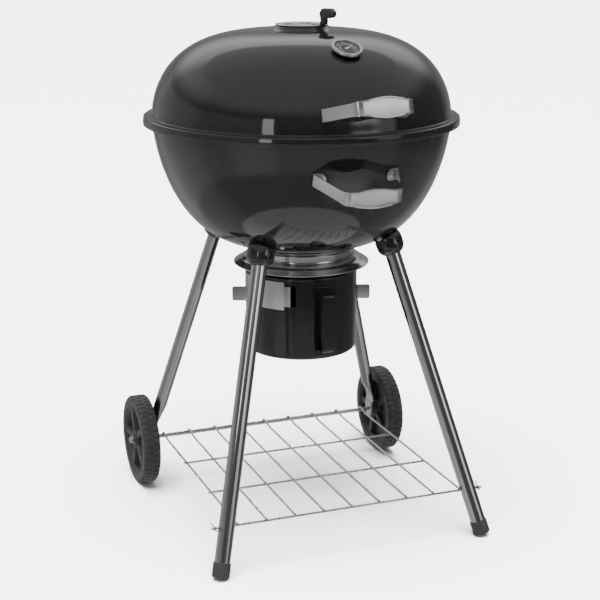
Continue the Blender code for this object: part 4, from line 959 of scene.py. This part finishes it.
class GRILL_OT_legs(GrillPiece, bpy.types.Operator):
    """Two straight front tubes with foot caps, and two rear tubes pressed flat at the axle"""
    bl_idname = "grill.legs"
    bl_label = "Legs"

    def build(self):
        for name, side, end in CORNERS:
            (self.front if end < 0 else self.rear)(name, side, end)

    def front(self, name, side, end):
        """A straight tube of one wall, and the ribbed cap turned on the same axis."""
        top, down = leg_ends(side, end)
        lean = np.arccos(-down[2])
        sole = top + down * ((LEG_TOP[2] - (0.0160 * np.sin(lean) - 0.0014)) / -down[2])
        start, stop = top - down * 0.0225, sole - down * 0.0043
        length = np.linalg.norm(stop - start)
        wall = FRONT_TUBE_R - 0.0012
        tube = [(wall, length), (FRONT_TUBE_R - 0.0003, length), (FRONT_TUBE_R, length - 0.0003),
                (FRONT_TUBE_R, length * 0.5), (FRONT_TUBE_R, 0.0), (wall, 0.0),
                (wall, length * 0.5)]
        piece(f"tube_{name}", [ring(on_kettle(turned(tube, 72, start, down)))], chromed_tube, STAND,
              [f"leg_{name}"])
        bore = FRONT_TUBE_R + GAP
        cap = [(0.0, 0.004), (bore, 0.004), (bore, 0.026), (0.0156, 0.0262), (0.0160, 0.0252),
               (0.0160, 0.0222), (0.0156, 0.0216), (0.0160, 0.0210), (0.0160, 0.0022),
               (0.0142, 0.0), (0.0, 0.0)]
        cap = soften(cap, [0, .0003, .0002, .0003, .0004, .0002, .0002, .0002, .0015, .0012, 0], 5,
                     False)
        points = on_kettle(turned(cap, 64, sole, -down))
        points[..., 2] = np.maximum(points[..., 2], 0.0)
        piece(f"foot_cap_{name}", [ball(points)], black_grip, STAND, [f"leg_cap_{name}"])

    def rear(self, name, side, end):
        """Sections whose half sizes and middles change along the tube, each a rounded oval."""
        top, down = leg_ends(side, end)
        start = top - down * 0.0135
        squeeze, flat = AXLE[2] + 0.074, AXLE[2] + 0.030
        z = np.concatenate([[start[2], start[2] * 0.6 + squeeze * 0.4],
                            np.linspace(squeeze, flat, 22),
                            np.linspace(flat, AXLE[2] - 0.016, 26)[1:]])
        share = step_up(z, flat, squeeze)
        plate = 0.0017
        thin = plate + (REAR_TUBE_R - plate) * share
        wide = np.interp(z, [AXLE[2] - 0.016, AXLE[2] - 0.014, AXLE[2] - 0.009, AXLE[2],
                             AXLE[2] + 0.018, flat, squeeze],
                         [0.0040, 0.0085, 0.0130, 0.0158, 0.0172, 0.0178, REAR_TUBE_R])
        line = top + down * ((LEG_TOP[2] - z) / -down[2])[:, None]
        end_y = AXLE[1] - KETTLE_Y
        tail = step_up(z, AXLE[2] + 0.014, flat)[:, None]
        pin = np.stack([z * 0 + side * LEG_END_X, z * 0 + end_y, z], -1)
        middle = pin * (1.0 - tail) + line * tail
        angle = np.linspace(0.0, 2.0 * np.pi, 60, endpoint=False)
        power = (1.0 - 0.35 * (1.0 - share))[:, None]
        c = np.sign(np.cos(angle)) * np.abs(np.cos(angle)) ** power
        s = np.sign(np.sin(angle)) * np.abs(np.sin(angle)) ** power
        offset = np.stack([thin[:, None] * c, wide[:, None] * s, 0.0 * c], -1)
        level = unit(down * (1.0, 1.0, 0.0))
        pull = (1.0 / abs(down[2]) - 1.0) * share[:, None, None]
        offset = offset + level * (offset @ level)[..., None] * pull
        points = on_kettle(middle[:, None] + offset)
        pin_at = on_kettle((side * LEG_END_X, end_y, AXLE[2]))
        drill = ball(rod(pin_at - 0.02 * RIGHT, pin_at + 0.02 * RIGHT, AXLE_R + GAP, 24))
        piece(f"tube_{name}", [bar(points)], chromed_tube, STAND, [f"leg_{name}"], 42.0, [drill])


class GRILL_OT_wheels(GrillPiece, bpy.types.Operator):
    """Moulded wheels: spokes between tapered pockets, a ribbed tread in two rows, and the axle"""
    bl_idname = "grill.wheels"
    bl_label = "Wheels and axle"

    def build(self):
        half, bore = WHEEL_HALF, AXLE_R + 2 * GAP
        blocks, depth = sizes().tread_blocks, sizes().tread_depth
        angle = np.linspace(0.0, 2.0 * np.pi, blocks * 8, endpoint=False)[None, :]
        face_r = np.concatenate([np.linspace(bore, 0.0146, 7), np.linspace(0.0150, 0.0215, 10),
                                 np.linspace(0.024, 0.055, 10), np.linspace(0.0570, 0.0700, 20),
                                 np.linspace(0.0715, 0.0815, 6)])
        sweep = np.radians(np.linspace(6.0, 84.0, 7))
        shoulder = np.stack([0.0825 + 0.0065 * np.sin(sweep),
                             half - 0.0062 + 0.0062 * np.cos(sweep)], -1)
        tread_x = np.concatenate([np.linspace(0.0100, 0.0034, 4), [0.0030, 0.0024, 0.0018, 0.0014]])
        side_rows = np.vstack([np.stack([face_r, face_r * 0 + half], -1), shoulder,
                               np.stack([tread_x * 0 + WHEEL_R, tread_x], -1)])
        rows = np.vstack([side_rows, (side_rows * (1.0, -1.0))[::-1]])
        r, x = rows[:, :1], rows[:, 1:]
        pockets = sizes().pockets
        nearest = (angle + np.pi / pockets) % (2.0 * np.pi / pockets) - np.pi / pockets
        off = r * np.abs(np.sin(nearest))
        ribs = step_up(off, 0.0042 + 0.04 * r, 0.0060 + 0.04 * r)
        band = step_up(r, 0.0165, 0.0200) * (1.0 - step_up(r, 0.0585, 0.0625))
        dish = 0.0030 * step_up(r, 0.0140, 0.0160) * (1.0 - step_up(r, 0.0640, 0.0670))
        groove = 0.0012 * step_up(r, 0.0672, 0.0682) * (1.0 - step_up(r, 0.0692, 0.0702))
        recess = dish + groove + 0.0085 * ribs * band
        face = (r < 0.0820) * 1.0
        x_moved = x - np.sign(x) * recess * face
        phase = (angle * blocks / (2.0 * np.pi) + 0.5 * (x > 0)) % 1.0
        gap = 1.0 - step_up(np.abs(phase - 0.5), 0.10, 0.20)
        edge = step_up(np.abs(x), 0.0018, 0.0030) * step_up(r, 0.0830, 0.0870)
        rail = step_up(np.abs(x), 0.0014, 0.0020) * (1.0 - step_up(np.abs(x), 0.0024, 0.0032))
        cut = depth * np.maximum(gap * edge, 0.7 * rail) * (r > 0.0825)
        r_moved = r - cut
        for name, side in SIDES:
            out = x_moved * side + 0.0 * angle
            points = np.stack([out, r_moved * np.cos(angle), r_moved * np.sin(angle)], -1)
            at = np.array(JOINTS[f"wheel_{name}_spin"]["pos_m"])
            piece(f"tyre_{name}", [ring(points + at)], wheel_plastic, f"wheel_{name}_body",
                  [f"wheel_{name}"], 38.0)
            tip = np.array([at[0] + side * half + side * GAP, at[1], at[2]])
            nut = soften([(0.0, 0.0088), (0.0040, 0.0083), (0.0066, 0.0058), (0.0070, 0.0016),
                          (0.0082, 0.0014), (0.0082, 0.0), (0.0, 0.0)],
                         [0, 0.0015, 0.0015, 0.0006, 0.0003, 0.0002, 0], 6, False)
            piece(f"hub_cap_{name}", [ball(turned(nut, 40, tip, (side, 0.0, 0.0)))], zinc_steel,
                  STAND, [f"axle_nut_{name}"])
        low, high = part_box("axle")
        spindle = rod((low.x + 0.001, AXLE[1], AXLE[2]), (high.x - 0.001, AXLE[1], AXLE[2]),
                      AXLE_R, 32)
        piece("spindle", [ball(spindle)], zinc_steel, STAND, ["axle"])


class GRILL_OT_shelf(GrillPiece, bpy.types.Operator):
    """The wire shelf: long wires hooked over the axle, cross wires, and the two front clips"""
    bl_idname = "grill.shelf"
    bl_label = "Wire shelf"

    def build(self):
        top, down = leg_ends(1.0, -1.0)
        low = AXLE[2] - 0.0020
        front = top + down * ((LEG_TOP[2] - low) / -down[2])
        leg_x, front_y = front[0], front[1] + KETTLE_Y
        over = AXLE[2] + AXLE_R + WIRE_R + GAP
        lift = low + 1.75 * WIRE_R
        rear_y = AXLE[1] + AXLE_R + WIRE_R + GAP
        grids = []
        for x in np.linspace(-0.2176, 0.2176, 9):
            path = [(x, front_y - 0.0035, lift + 0.0010), (x, front_y + 0.004, lift),
                    (x, AXLE[1] - 0.030, lift), (x, AXLE[1] - 0.012, over),
                    (x, AXLE[1] + 0.001, over), (x, rear_y, over - 0.0035),
                    (x, rear_y, AXLE[2] - 0.0045)]
            path = soften(path, [0, 0.002, 0.006, 0.006, 0.0025, 0.0015, 0], 6, False)
            grids.append(bar(carried(path, RIGHT, circle(WIRE_R, 14))))
        ends = leg_x + FRONT_TUBE_R + 0.014
        grids.append(ball(rod((-ends, front_y, low), (ends, front_y, low), WIRE_R, 16)))
        span = AXLE[1] - front_y
        for y in (front_y + span / 3, front_y + 2 * span / 3):
            grids.append(ball(rod((-0.2206, y, low), (0.2206, y, low), WIRE_R, 14)))
        piece("wire_shelf", grids, zinc_steel, STAND, ["bottom_rack"], 50.0)
        for name, side in SIDES:
            x = side * (leg_x + FRONT_TUBE_R + 0.007)
            turn = np.linspace(0.0, 1.75 * np.pi, 30)
            hoop = np.stack([0.0 * turn + x, front_y + 0.0036 * np.cos(turn),
                             low + 0.0036 * np.sin(turn)], -1)
            tail = hoop[-1] + np.array([[0, 0.004, 0.002], [side * 0.002, 0.010, 0.006],
                                        [side * 0.004, 0.0135, 0.009]])
            head = hoop[0] + np.array([[-side * 0.003, -0.016, 0.001], [0, -0.010, -0.002]])
            pin = resample(soften(np.vstack([head, hoop[::5], tail]),
                                  [0] + [0.0015] * (len(hoop[::5]) + 3) + [0], 5, False), 0.0008)
            piece(f"wire_clip_{name}", [bar(carried(pin, RIGHT, circle(0.0011, 10)))], zinc_steel,
                  STAND, [f"rack_clip_{name}"], 50.0)


class GRILL_OT_collar(GrillPiece, bpy.types.Operator):
    """The bright throat under the bowl and the conical brim round it"""
    bl_idname = "grill.collar"
    bl_label = "Ash collar"

    def build(self):
        throat, wide = COLLAR_R, 0.1150
        under = RIM_Z - shell_height(throat, BOWL_DEPTH, BOWL_POWERS) - 0.0004
        rim = RIM_Z - shell_height(wide, BOWL_DEPTH, BOWL_POWERS) - 0.0004
        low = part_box("ash_collar")[0].z
        outer = [(throat, low), (throat, under - 0.0070), (wide - 0.0020, rim - 0.0042),
                 (wide + 0.0010, rim - 0.0022), (wide - 0.0006, rim - 0.0004), (throat, under)]
        inner = [(throat - SHEET, under + 0.0003), (throat - SHEET, low)]
        profile = soften(np.vstack([outer, inner]), [.0003, .004, .0022, .0012, .001, .0003, .0003,
                                                     .0003], 7)
        piece("throat", [ring(on_kettle(turned(profile, 128)))], polished_steel, STAND,
              ["ash_collar"], 30.0)
        brim_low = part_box("collar_brim")[0].z + 0.0016
        top, bore, edge = brim_low + 0.0150, throat + GAP, 0.1275
        upper = [(bore, top + 0.0030), (bore + 0.0011, top + 0.0030), (bore + 0.0016, top + 0.0006),
                 (0.1105, top - 0.0040), (0.1150, top - 0.0085), (edge - 0.0030, brim_low + 0.0014),
                 (edge, brim_low + 0.0002), (edge - 0.0006, brim_low - 0.0016),
                 (edge - 0.0026, brim_low - 0.0014), (edge - 0.0040, brim_low + 0.0002),
                 (0.1142, top - 0.0102), (0.1098, top - 0.0056), (bore, top - 0.0012)]
        profile = soften(upper, [.0003, .0004, .0008, .002, .002, .0015, .0010, .0008, .0006, .0008,
                                 .002, .002, .0004], 6)
        piece("brim", [ring(on_kettle(turned(profile, 128)))], polished_steel, STAND,
              ["collar_brim"], 30.0)


class GRILL_OT_bucket(GrillPiece, bpy.types.Operator):
    """The ash bucket with its rolled edge and air slots, its carrying loop and its guides"""
    bl_idname = "grill.bucket"
    bl_label = "Ash bucket"

    def build(self):
        edge = 0.0018
        outer = [(0.0, BUCKET_LOW), (BUCKET_R, BUCKET_LOW), (BUCKET_R, BUCKET_HIGH - 0.0045)]
        outer = soften(outer, [0, 0.012, 0], 12, False)
        inner = [(0.0, BUCKET_LOW + SHEET), (BUCKET_R - SHEET, BUCKET_LOW + SHEET),
                 (BUCKET_R - SHEET, BUCKET_HIGH - 0.0020)]
        inner = soften(inner, [0, 0.011, 0], 12, False)
        turn = np.radians(np.linspace(-70.0, 170.0, 14))
        bead = np.stack([BUCKET_R + 0.0003 + (edge - 0.0003) * np.cos(turn),
                         BUCKET_HIGH - 0.0021 + 0.0021 * np.sin(turn)], -1)
        profile = np.vstack([outer, bead, inner[::-1]])
        slots = []
        slot = soften([(-0.0068, -0.019), (-0.0068, 0.019), (0.0068, 0.019), (0.0068, -0.019)],
                      0.0025, 5)
        for turn in (0.0, np.pi):
            for k in range(3):
                out = level_way(SLOT_FROM - SLOT_PITCH * k + turn)
                path = np.outer([BUCKET_R - 0.008, BUCKET_R + 0.008], out) + SHUTTER_MIDDLE * UP
                slots.append(bar(on_kettle(carried(path, np.cross(UP, out), slot))))
        piece("bucket_pail", [ball(on_kettle(turned(profile, 144)))], black_enamel, BUCKET,
              ["ash_bucket"], 40.0, slots)
        foot, out = BUCKET_R + 0.0006, BUCKET_R + 0.0330
        low = BUCKET_LOW + 0.0205
        high = low + 0.117
        corners = [(foot, high + 0.012), (foot, high), (out, high - 0.004), (out, low + 0.004),
                   (foot, low), (foot, low - 0.010)]
        flat = resample(soften(corners, [0, 0.003, 0.007, 0.007, 0.003, 0], 9, False), 0.0012)
        path = np.stack([0.0 * flat[:, 0], -flat[:, 0], flat[:, 1]], -1)
        raised = step_up(flat[:, 0], foot + 0.002, foot + 0.010)
        width = 0.0240 - 0.0020 * raised
        section = channel(width, 0.0012, 0.0012 + 0.0028 * raised)
        surface = carried(path, RIGHT, section + (0.0, 0.0006))
        piece("carrying_loop", [bar(on_kettle(surface))], black_enamel, BUCKET, ["bucket_loop"])
        near, clear = BUCKET_R + 0.0008, BUCKET_R + 0.0046
        low, high = 0.4165, 0.4722
        for name, turn in (("left", 0.0), ("right", np.pi)):
            out = level_way(GUIDE_AT + turn)
            flat = soften([(near, low - 0.010), (near, low), (clear, low + 0.0010),
                           (clear, high - 0.0010), (near, high), (near, high + 0.0012)],
                          [0, 0.0008, 0.0012, 0.0012, 0.0008, 0], 6, False)
            path = flat[:, :1] * out + flat[:, 1:] * UP
            strap = carried(path, np.cross(UP, out), slab(0.012, 0.0009))
            piece(f"guide_strap_{name}", [bar(on_kettle(strap))], brushed_stainless, BUCKET,
                  [f"shutter_guide_{name}"])


class GRILL_OT_shutters(GrillPiece, bpy.types.Operator):
    """The two sliding air shutters: a curved plate, a stepped tongue and a folded fin"""
    bl_idname = "grill.shutters"
    bl_label = "Air shutters"

    def build(self):
        r = BUCKET_R + 0.0010
        tongue, full, fin = 0.038, 0.053, 0.028
        fin_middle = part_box("air_shutter_left")[0].z + fin / 2
        angles = np.concatenate([np.linspace(SHUTTER_FROM + TONGUE_ARC, SHUTTER_FROM, 6),
                                 [SHUTTER_FROM - 0.010],
                                 np.linspace(SHUTTER_FROM - 0.012, SHUTTER_TO + 0.050, 30),
                                 [SHUTTER_TO + 0.049]])
        rise = np.concatenate([np.full(6, 0.0020), np.zeros(32)])
        plan = np.stack([(r + rise) * np.cos(angles), (r + rise) * np.sin(angles)], -1)
        height = np.concatenate([np.full(6, tongue), [tongue], np.full(30, full), [fin]])
        centre = np.concatenate([np.full(37, SHUTTER_MIDDLE), [fin_middle]])
        reach = np.concatenate([np.linspace(r + 0.0006, r + 0.0205, 8),
                                r + 0.0205 + 0.0045 * np.sin(np.radians(np.linspace(12, 90, 8)))])
        way = np.array([np.cos(SHUTTER_TO), np.sin(SHUTTER_TO)])
        bend = soften([tuple(plan[-1]), tuple(way * (r + 0.0002)), tuple(way * reach[1])],
                      [0, 0.0016, 0], 7, False)[1:-1]
        plan = np.vstack([plan, bend, reach[1:, None] * way])
        corner = fin - 0.0045 * 2 * (1.0 - np.cos(np.radians(np.linspace(12, 90, 8))))
        height = np.concatenate([height, np.full(len(bend) + 7, fin), corner])
        centre = np.concatenate([centre, np.full(len(bend) + 15, fin_middle)])
        section = slab(height, 0.0010, centre)
        path = np.column_stack([plan, np.zeros(len(plan))])
        surface = carried(path, UP, section)
        for name, sign in (("left", 1.0), ("right", -1.0)):
            piece(f"shutter_plate_{name}", [bar(on_kettle(surface * (sign, sign, 1.0)))],
                  brushed_stainless, f"shutter_{name}", [f"air_shutter_{name}"], 30.0)


class GRILL_OT_grates(GrillPiece, bpy.types.Operator):
    """The cooking grate, the charcoal grate and the brackets that carry the upper one"""
    bl_idname = "grill.grates"
    bl_label = "Grates"

    def build(self):
        bar_r = 0.0021
        for name, body, radius, z, pitch, wire in (
                ("cooking", "cooking_grate_body", 0.260, COOKING_Z, 0.020, GRATE_HOOP_R),
                ("charcoal", "charcoal_grate_body", 0.225, CHARCOAL_Z, 0.034, 0.0026)):
            turn = np.linspace(0.0, 2.0 * np.pi, 120, endpoint=False)
            hoop = np.stack([radius * np.cos(turn), radius * np.sin(turn), 0.0 * turn + z], -1)
            grids = [ring(on_kettle(carried(hoop, UP, circle(wire, 12), loop=True)))]
            count = int(radius / pitch)
            for x in pitch * np.arange(-count, count + 1):
                half = np.sqrt(max(radius ** 2 - x ** 2, 0.0))
                if half > pitch:
                    grids.append(ball(on_kettle(rod((x, -half, z + 0.0004), (x, half, z + 0.0004),
                                                    bar_r, 12))))
            for y in ((0.0,) if name == "charcoal" else (-0.085, 0.085)):
                half = np.sqrt(radius ** 2 - y ** 2)
                grids.append(ball(on_kettle(rod((-half, y, z - bar_r), (half, y, z - bar_r), bar_r,
                                                12))))
            piece(f"{name}_bars", grids, grate_chrome, body, [f"{name}_grate"], 50.0)
        shelf = COOKING_Z - GRATE_HOOP_R - GAP - SHEET / 2
        flange = shell_radius(RIM_Z - shelf + 0.020, BOWL_DEPTH, BOWL_POWERS) - 0.0022
        for k in range(4):
            out = level_way(np.radians(45.0 + 90.0 * k))
            corners = [(flange, shelf - 0.019), (flange, shelf), (flange - 0.022, shelf)]
            flat = resample(soften(corners, [0, 0.003, 0], 8, False), 0.001)
            path = flat[:, :1] * out + flat[:, 1:] * UP
            end = np.minimum(np.arange(len(flat)), np.arange(len(flat))[::-1]) * 0.001
            width = 0.020 - 0.008 * (1.0 - np.minimum(end / 0.004, 1.0)) ** 2
            bracket = carried(path, np.cross(UP, out), slab(width, SHEET))
            piece(f"bracket_{k + 1}", [bar(on_kettle(bracket))], brushed_stainless, STAND,
                  [f"grate_bracket_{k + 1}"])


# ---- stage ---------------------------------------------------------------------------------
def strip_light(name, place, size, radiance, aim=(-0.2, -0.2)):
    """An upright rectangle of light, unseen by the camera, that faces a point's vertical."""
    lamp = bpy.data.lights.new(name, "AREA")
    lamp.shape = "RECTANGLE"
    lamp.size, lamp.size_y = size
    lamp.energy = radiance * np.pi * size[0] * size[1]
    made = bpy.data.objects.new(name, lamp)
    bpy.context.scene.collection.objects.link(made)
    way = unit(np.array([place[0] - aim[0], place[1] - aim[1], 0.0]))
    matrix = np.eye(4)
    matrix[:3, 0], matrix[:3, 1], matrix[:3, 2] = np.cross(UP, way), UP, way
    matrix[:3, 3] = place
    made.matrix_world = matrix.T.tolist()
    made.visible_camera = False


class GRILL_OT_stage(bpy.types.Operator):
    """A pale floor, a dim room with soft panels, a high soft key light and the camera"""
    bl_idname = "grill.stage"
    bl_label = "Stage"

    def execute(self, context):
        studio = context.scene.grill_studio
        self.floor(context, studio)
        self.room(context, studio)
        sun = bpy.data.lights.new("key_light", "SUN")
        sun.energy = studio.key
        sun.angle = np.radians(50.0)
        key = bpy.data.objects.new("key_light", sun)
        context.scene.collection.objects.link(key)
        key.rotation_euler = (np.radians(8.0), np.radians(-6.0), 0.0)
        key.visible_glossy = False
        strip_light("strip_left", (-1.03, -1.06, 0.90), (0.20, 0.50), 3.2)
        self.camera(context)
        return {"FINISHED"}

    def floor(self, context, studio):
        """A wide level disc, kept out of the gloss of the metal."""
        made = bpy.data.objects.new("floor", mesh_of("floor", [ball(turned(
            [(0.0, 0.0), (2.0, 0.0), (60.0, 0.0), (60.0, -0.01), (0.0, -0.01)], 64))]))
        context.scene.collection.objects.link(made)
        made.data.materials.append(finish("pale_floor", studio.floor, 0.6, mottle=0.7, vary=0.1,
                                          other=[0.99 * c for c in studio.floor]))
        made.visible_glossy = False

    def room(self, context, studio):
        """Sums soft panels, each a product of smooth steps in azimuth and in height."""
        world = bpy.data.worlds.new("studio_room")
        context.scene.world = world
        world.use_nodes = True
        nodes, links = world.node_tree.nodes, world.node_tree.links
        way = nodes.new("ShaderNodeTexCoord").outputs["Generated"]
        split = nodes.new("ShaderNodeSeparateXYZ")
        links.new(way, split.inputs["Vector"])

        def value(kind, *sources):
            """A Math node's result from numbers or sockets."""
            made = nodes.new("ShaderNodeMath")
            made.operation = kind
            for socket, source in zip(made.inputs, sources):
                if isinstance(source, (int, float)):
                    socket.default_value = source
                else:
                    links.new(source, socket)
            return made.outputs["Value"]

        def ramp(source, low, high, first=0.0, last=1.0):
            """first below low, last above high, and a smooth step between them."""
            made = nodes.new("ShaderNodeMapRange")
            made.interpolation_type = "SMOOTHSTEP"
            for socket, number in zip(("From Min", "From Max", "To Min", "To Max"),
                                      (low, high, first, last)):
                made.inputs[socket].default_value = number
            links.new(source, made.inputs["Value"])
            return made.outputs["Result"]

        def panel(azimuth, half, soft, lift, strength, edge=0.03, lower=None):
            """Light within half of an azimuth and between two heights of the unit sphere."""
            turn = np.radians(azimuth)
            across = value("ADD", value("MULTIPLY", split.outputs["X"], float(np.sin(turn))),
                           value("MULTIPLY", split.outputs["Y"], float(-np.cos(turn))))
            flat = value("SQRT", value("MAXIMUM", value("SUBTRACT", 1.0, value(
                "MULTIPLY", split.outputs["Z"], split.outputs["Z"])), 0.0001))
            facing = value("DIVIDE", across, flat)
            near = ramp(facing, float(np.cos(np.radians(half + soft))),
                        float(np.cos(np.radians(half))))
            lower = lower or edge
            over = ramp(split.outputs["Z"], lift[0] - lower, lift[0] + lower)
            under = ramp(split.outputs["Z"], lift[1] - edge, lift[1] + edge, 1.0, 0.0)
            return value("MULTIPLY", value("MULTIPLY", near, over),
                         value("MULTIPLY", under, strength))

        total = ramp(split.outputs["Z"], 0.28, 0.52, studio.room, studio.ceiling)
        total = value("ADD", total, ramp(split.outputs["Z"], -0.88, -0.865, studio.below, 0.18))
        total = value("SUBTRACT", total, ramp(split.outputs["Z"], -0.45, -0.20, 0.0, 0.18))
        for shape in (
                (CAMERA_TURN + 208.0, 58.0, 16.0, (-1.2, 0.64), 0.17),
                (CAMERA_TURN + 180.0, 30.0, 24.0, (0.30, 0.65), studio.sweep, 0.02, 0.12),
                (-105.0, 56.0, 14.0, (-0.6, 0.25), 0.8 * studio.left),
                (43.0, 7.0, 5.0, (-0.12, 0.16), 0.7),
                (37.0, 3.0, 3.0, (0.30, 0.50), 0.4),
                (28.0, 3.0, 12.0, (0.14, 0.30), 2.9, 0.12),
                (24.0, 9.0, 16.0, (-0.78, -0.62), 0.8, 0.08),
                (-10.0, 60.0, 15.0, (-0.62, -0.30), 0.25)):
            total = value("ADD", total, panel(*shape))
        path = nodes.new("ShaderNodeLightPath")
        total = value("MAXIMUM", total, value("MULTIPLY", path.outputs["Is Camera Ray"],
                                              studio.backdrop))
        links.new(total, nodes["Background"].inputs["Strength"])
        nodes["Background"].inputs["Color"].default_value = (1.0, 0.985, 0.975, 1.0)

    def camera(self, context):
        """Looks along its tilt and azimuth from its place, with a slight roll."""
        a, e, roll = CAMERA_AZIMUTH, CAMERA_TILT, CAMERA_ROLL
        back = np.array([np.sin(a) * np.cos(e), -np.cos(a) * np.cos(e), np.sin(e)])
        right = np.array([np.cos(a), np.sin(a), 0.0])
        up = np.cross(back, right)
        matrix = np.eye(4)
        matrix[:3, 0] = right * np.cos(roll) + up * np.sin(roll)
        matrix[:3, 1] = up * np.cos(roll) - right * np.sin(roll)
        matrix[:3, 2] = back
        matrix[:3, 3] = CAMERA_AT
        lens = bpy.data.cameras.new("camera")
        lens.lens = CAMERA_LENS
        lens.clip_end = 200.0
        made = bpy.data.objects.new("camera", lens)
        context.scene.collection.objects.link(made)
        made.matrix_world = matrix.T.tolist()
        context.scene.camera = made


class GRILL_PT_panel(bpy.types.Panel):
    """Lists the grill's pieces and what may be changed"""
    bl_idname = "GRILL_PT_panel"
    bl_label = "Kettle grill"
    bl_space_type = "VIEW_3D"
    bl_region_type = "UI"
    bl_category = "Kettle grill"

    def draw(self, context):
        """Every value of the three groups, then every operator."""
        for group in (context.scene.grill_sizes, context.scene.grill_colours,
                      context.scene.grill_studio):
            for key in group.bl_rna.properties.keys():
                if key not in ("rna_type", "name"):
                    self.layout.prop(group, key)
        for kind in PIECES:
            self.layout.operator(kind.bl_idname)


GROUPS = (("grill_sizes", GrillSizes), ("grill_colours", GrillColours),
          ("grill_studio", GrillStudio))
PIECES = (GRILL_OT_stage, GRILL_OT_lid, GRILL_OT_bowl, GRILL_OT_handles, GRILL_OT_lid_vent,
          GRILL_OT_thermometer, GRILL_OT_sockets, GRILL_OT_legs, GRILL_OT_wheels, GRILL_OT_shelf,
          GRILL_OT_collar, GRILL_OT_bucket, GRILL_OT_shutters, GRILL_OT_grates)


def register():
    """Adds the groups to the scene, then the operators and the panel."""
    for name, group in GROUPS:
        bpy.utils.register_class(group)
        setattr(bpy.types.Scene, name, bpy.props.PointerProperty(type=group))
    for kind in PIECES + (GRILL_PT_panel,):
        bpy.utils.register_class(kind)


def unregister():
    """Takes everything away again, last first."""
    for kind in reversed(PIECES + (GRILL_PT_panel,)):
        bpy.utils.unregister_class(kind)
    for name, group in reversed(GROUPS):
        delattr(bpy.types.Scene, name)
        bpy.utils.unregister_class(group)


def main():
    """Registers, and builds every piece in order."""
    register()
    for kind in PIECES:
        group, name = kind.bl_idname.split(".")
        getattr(getattr(bpy.ops, group), name)()


if __name__ == "__main__":
    main()
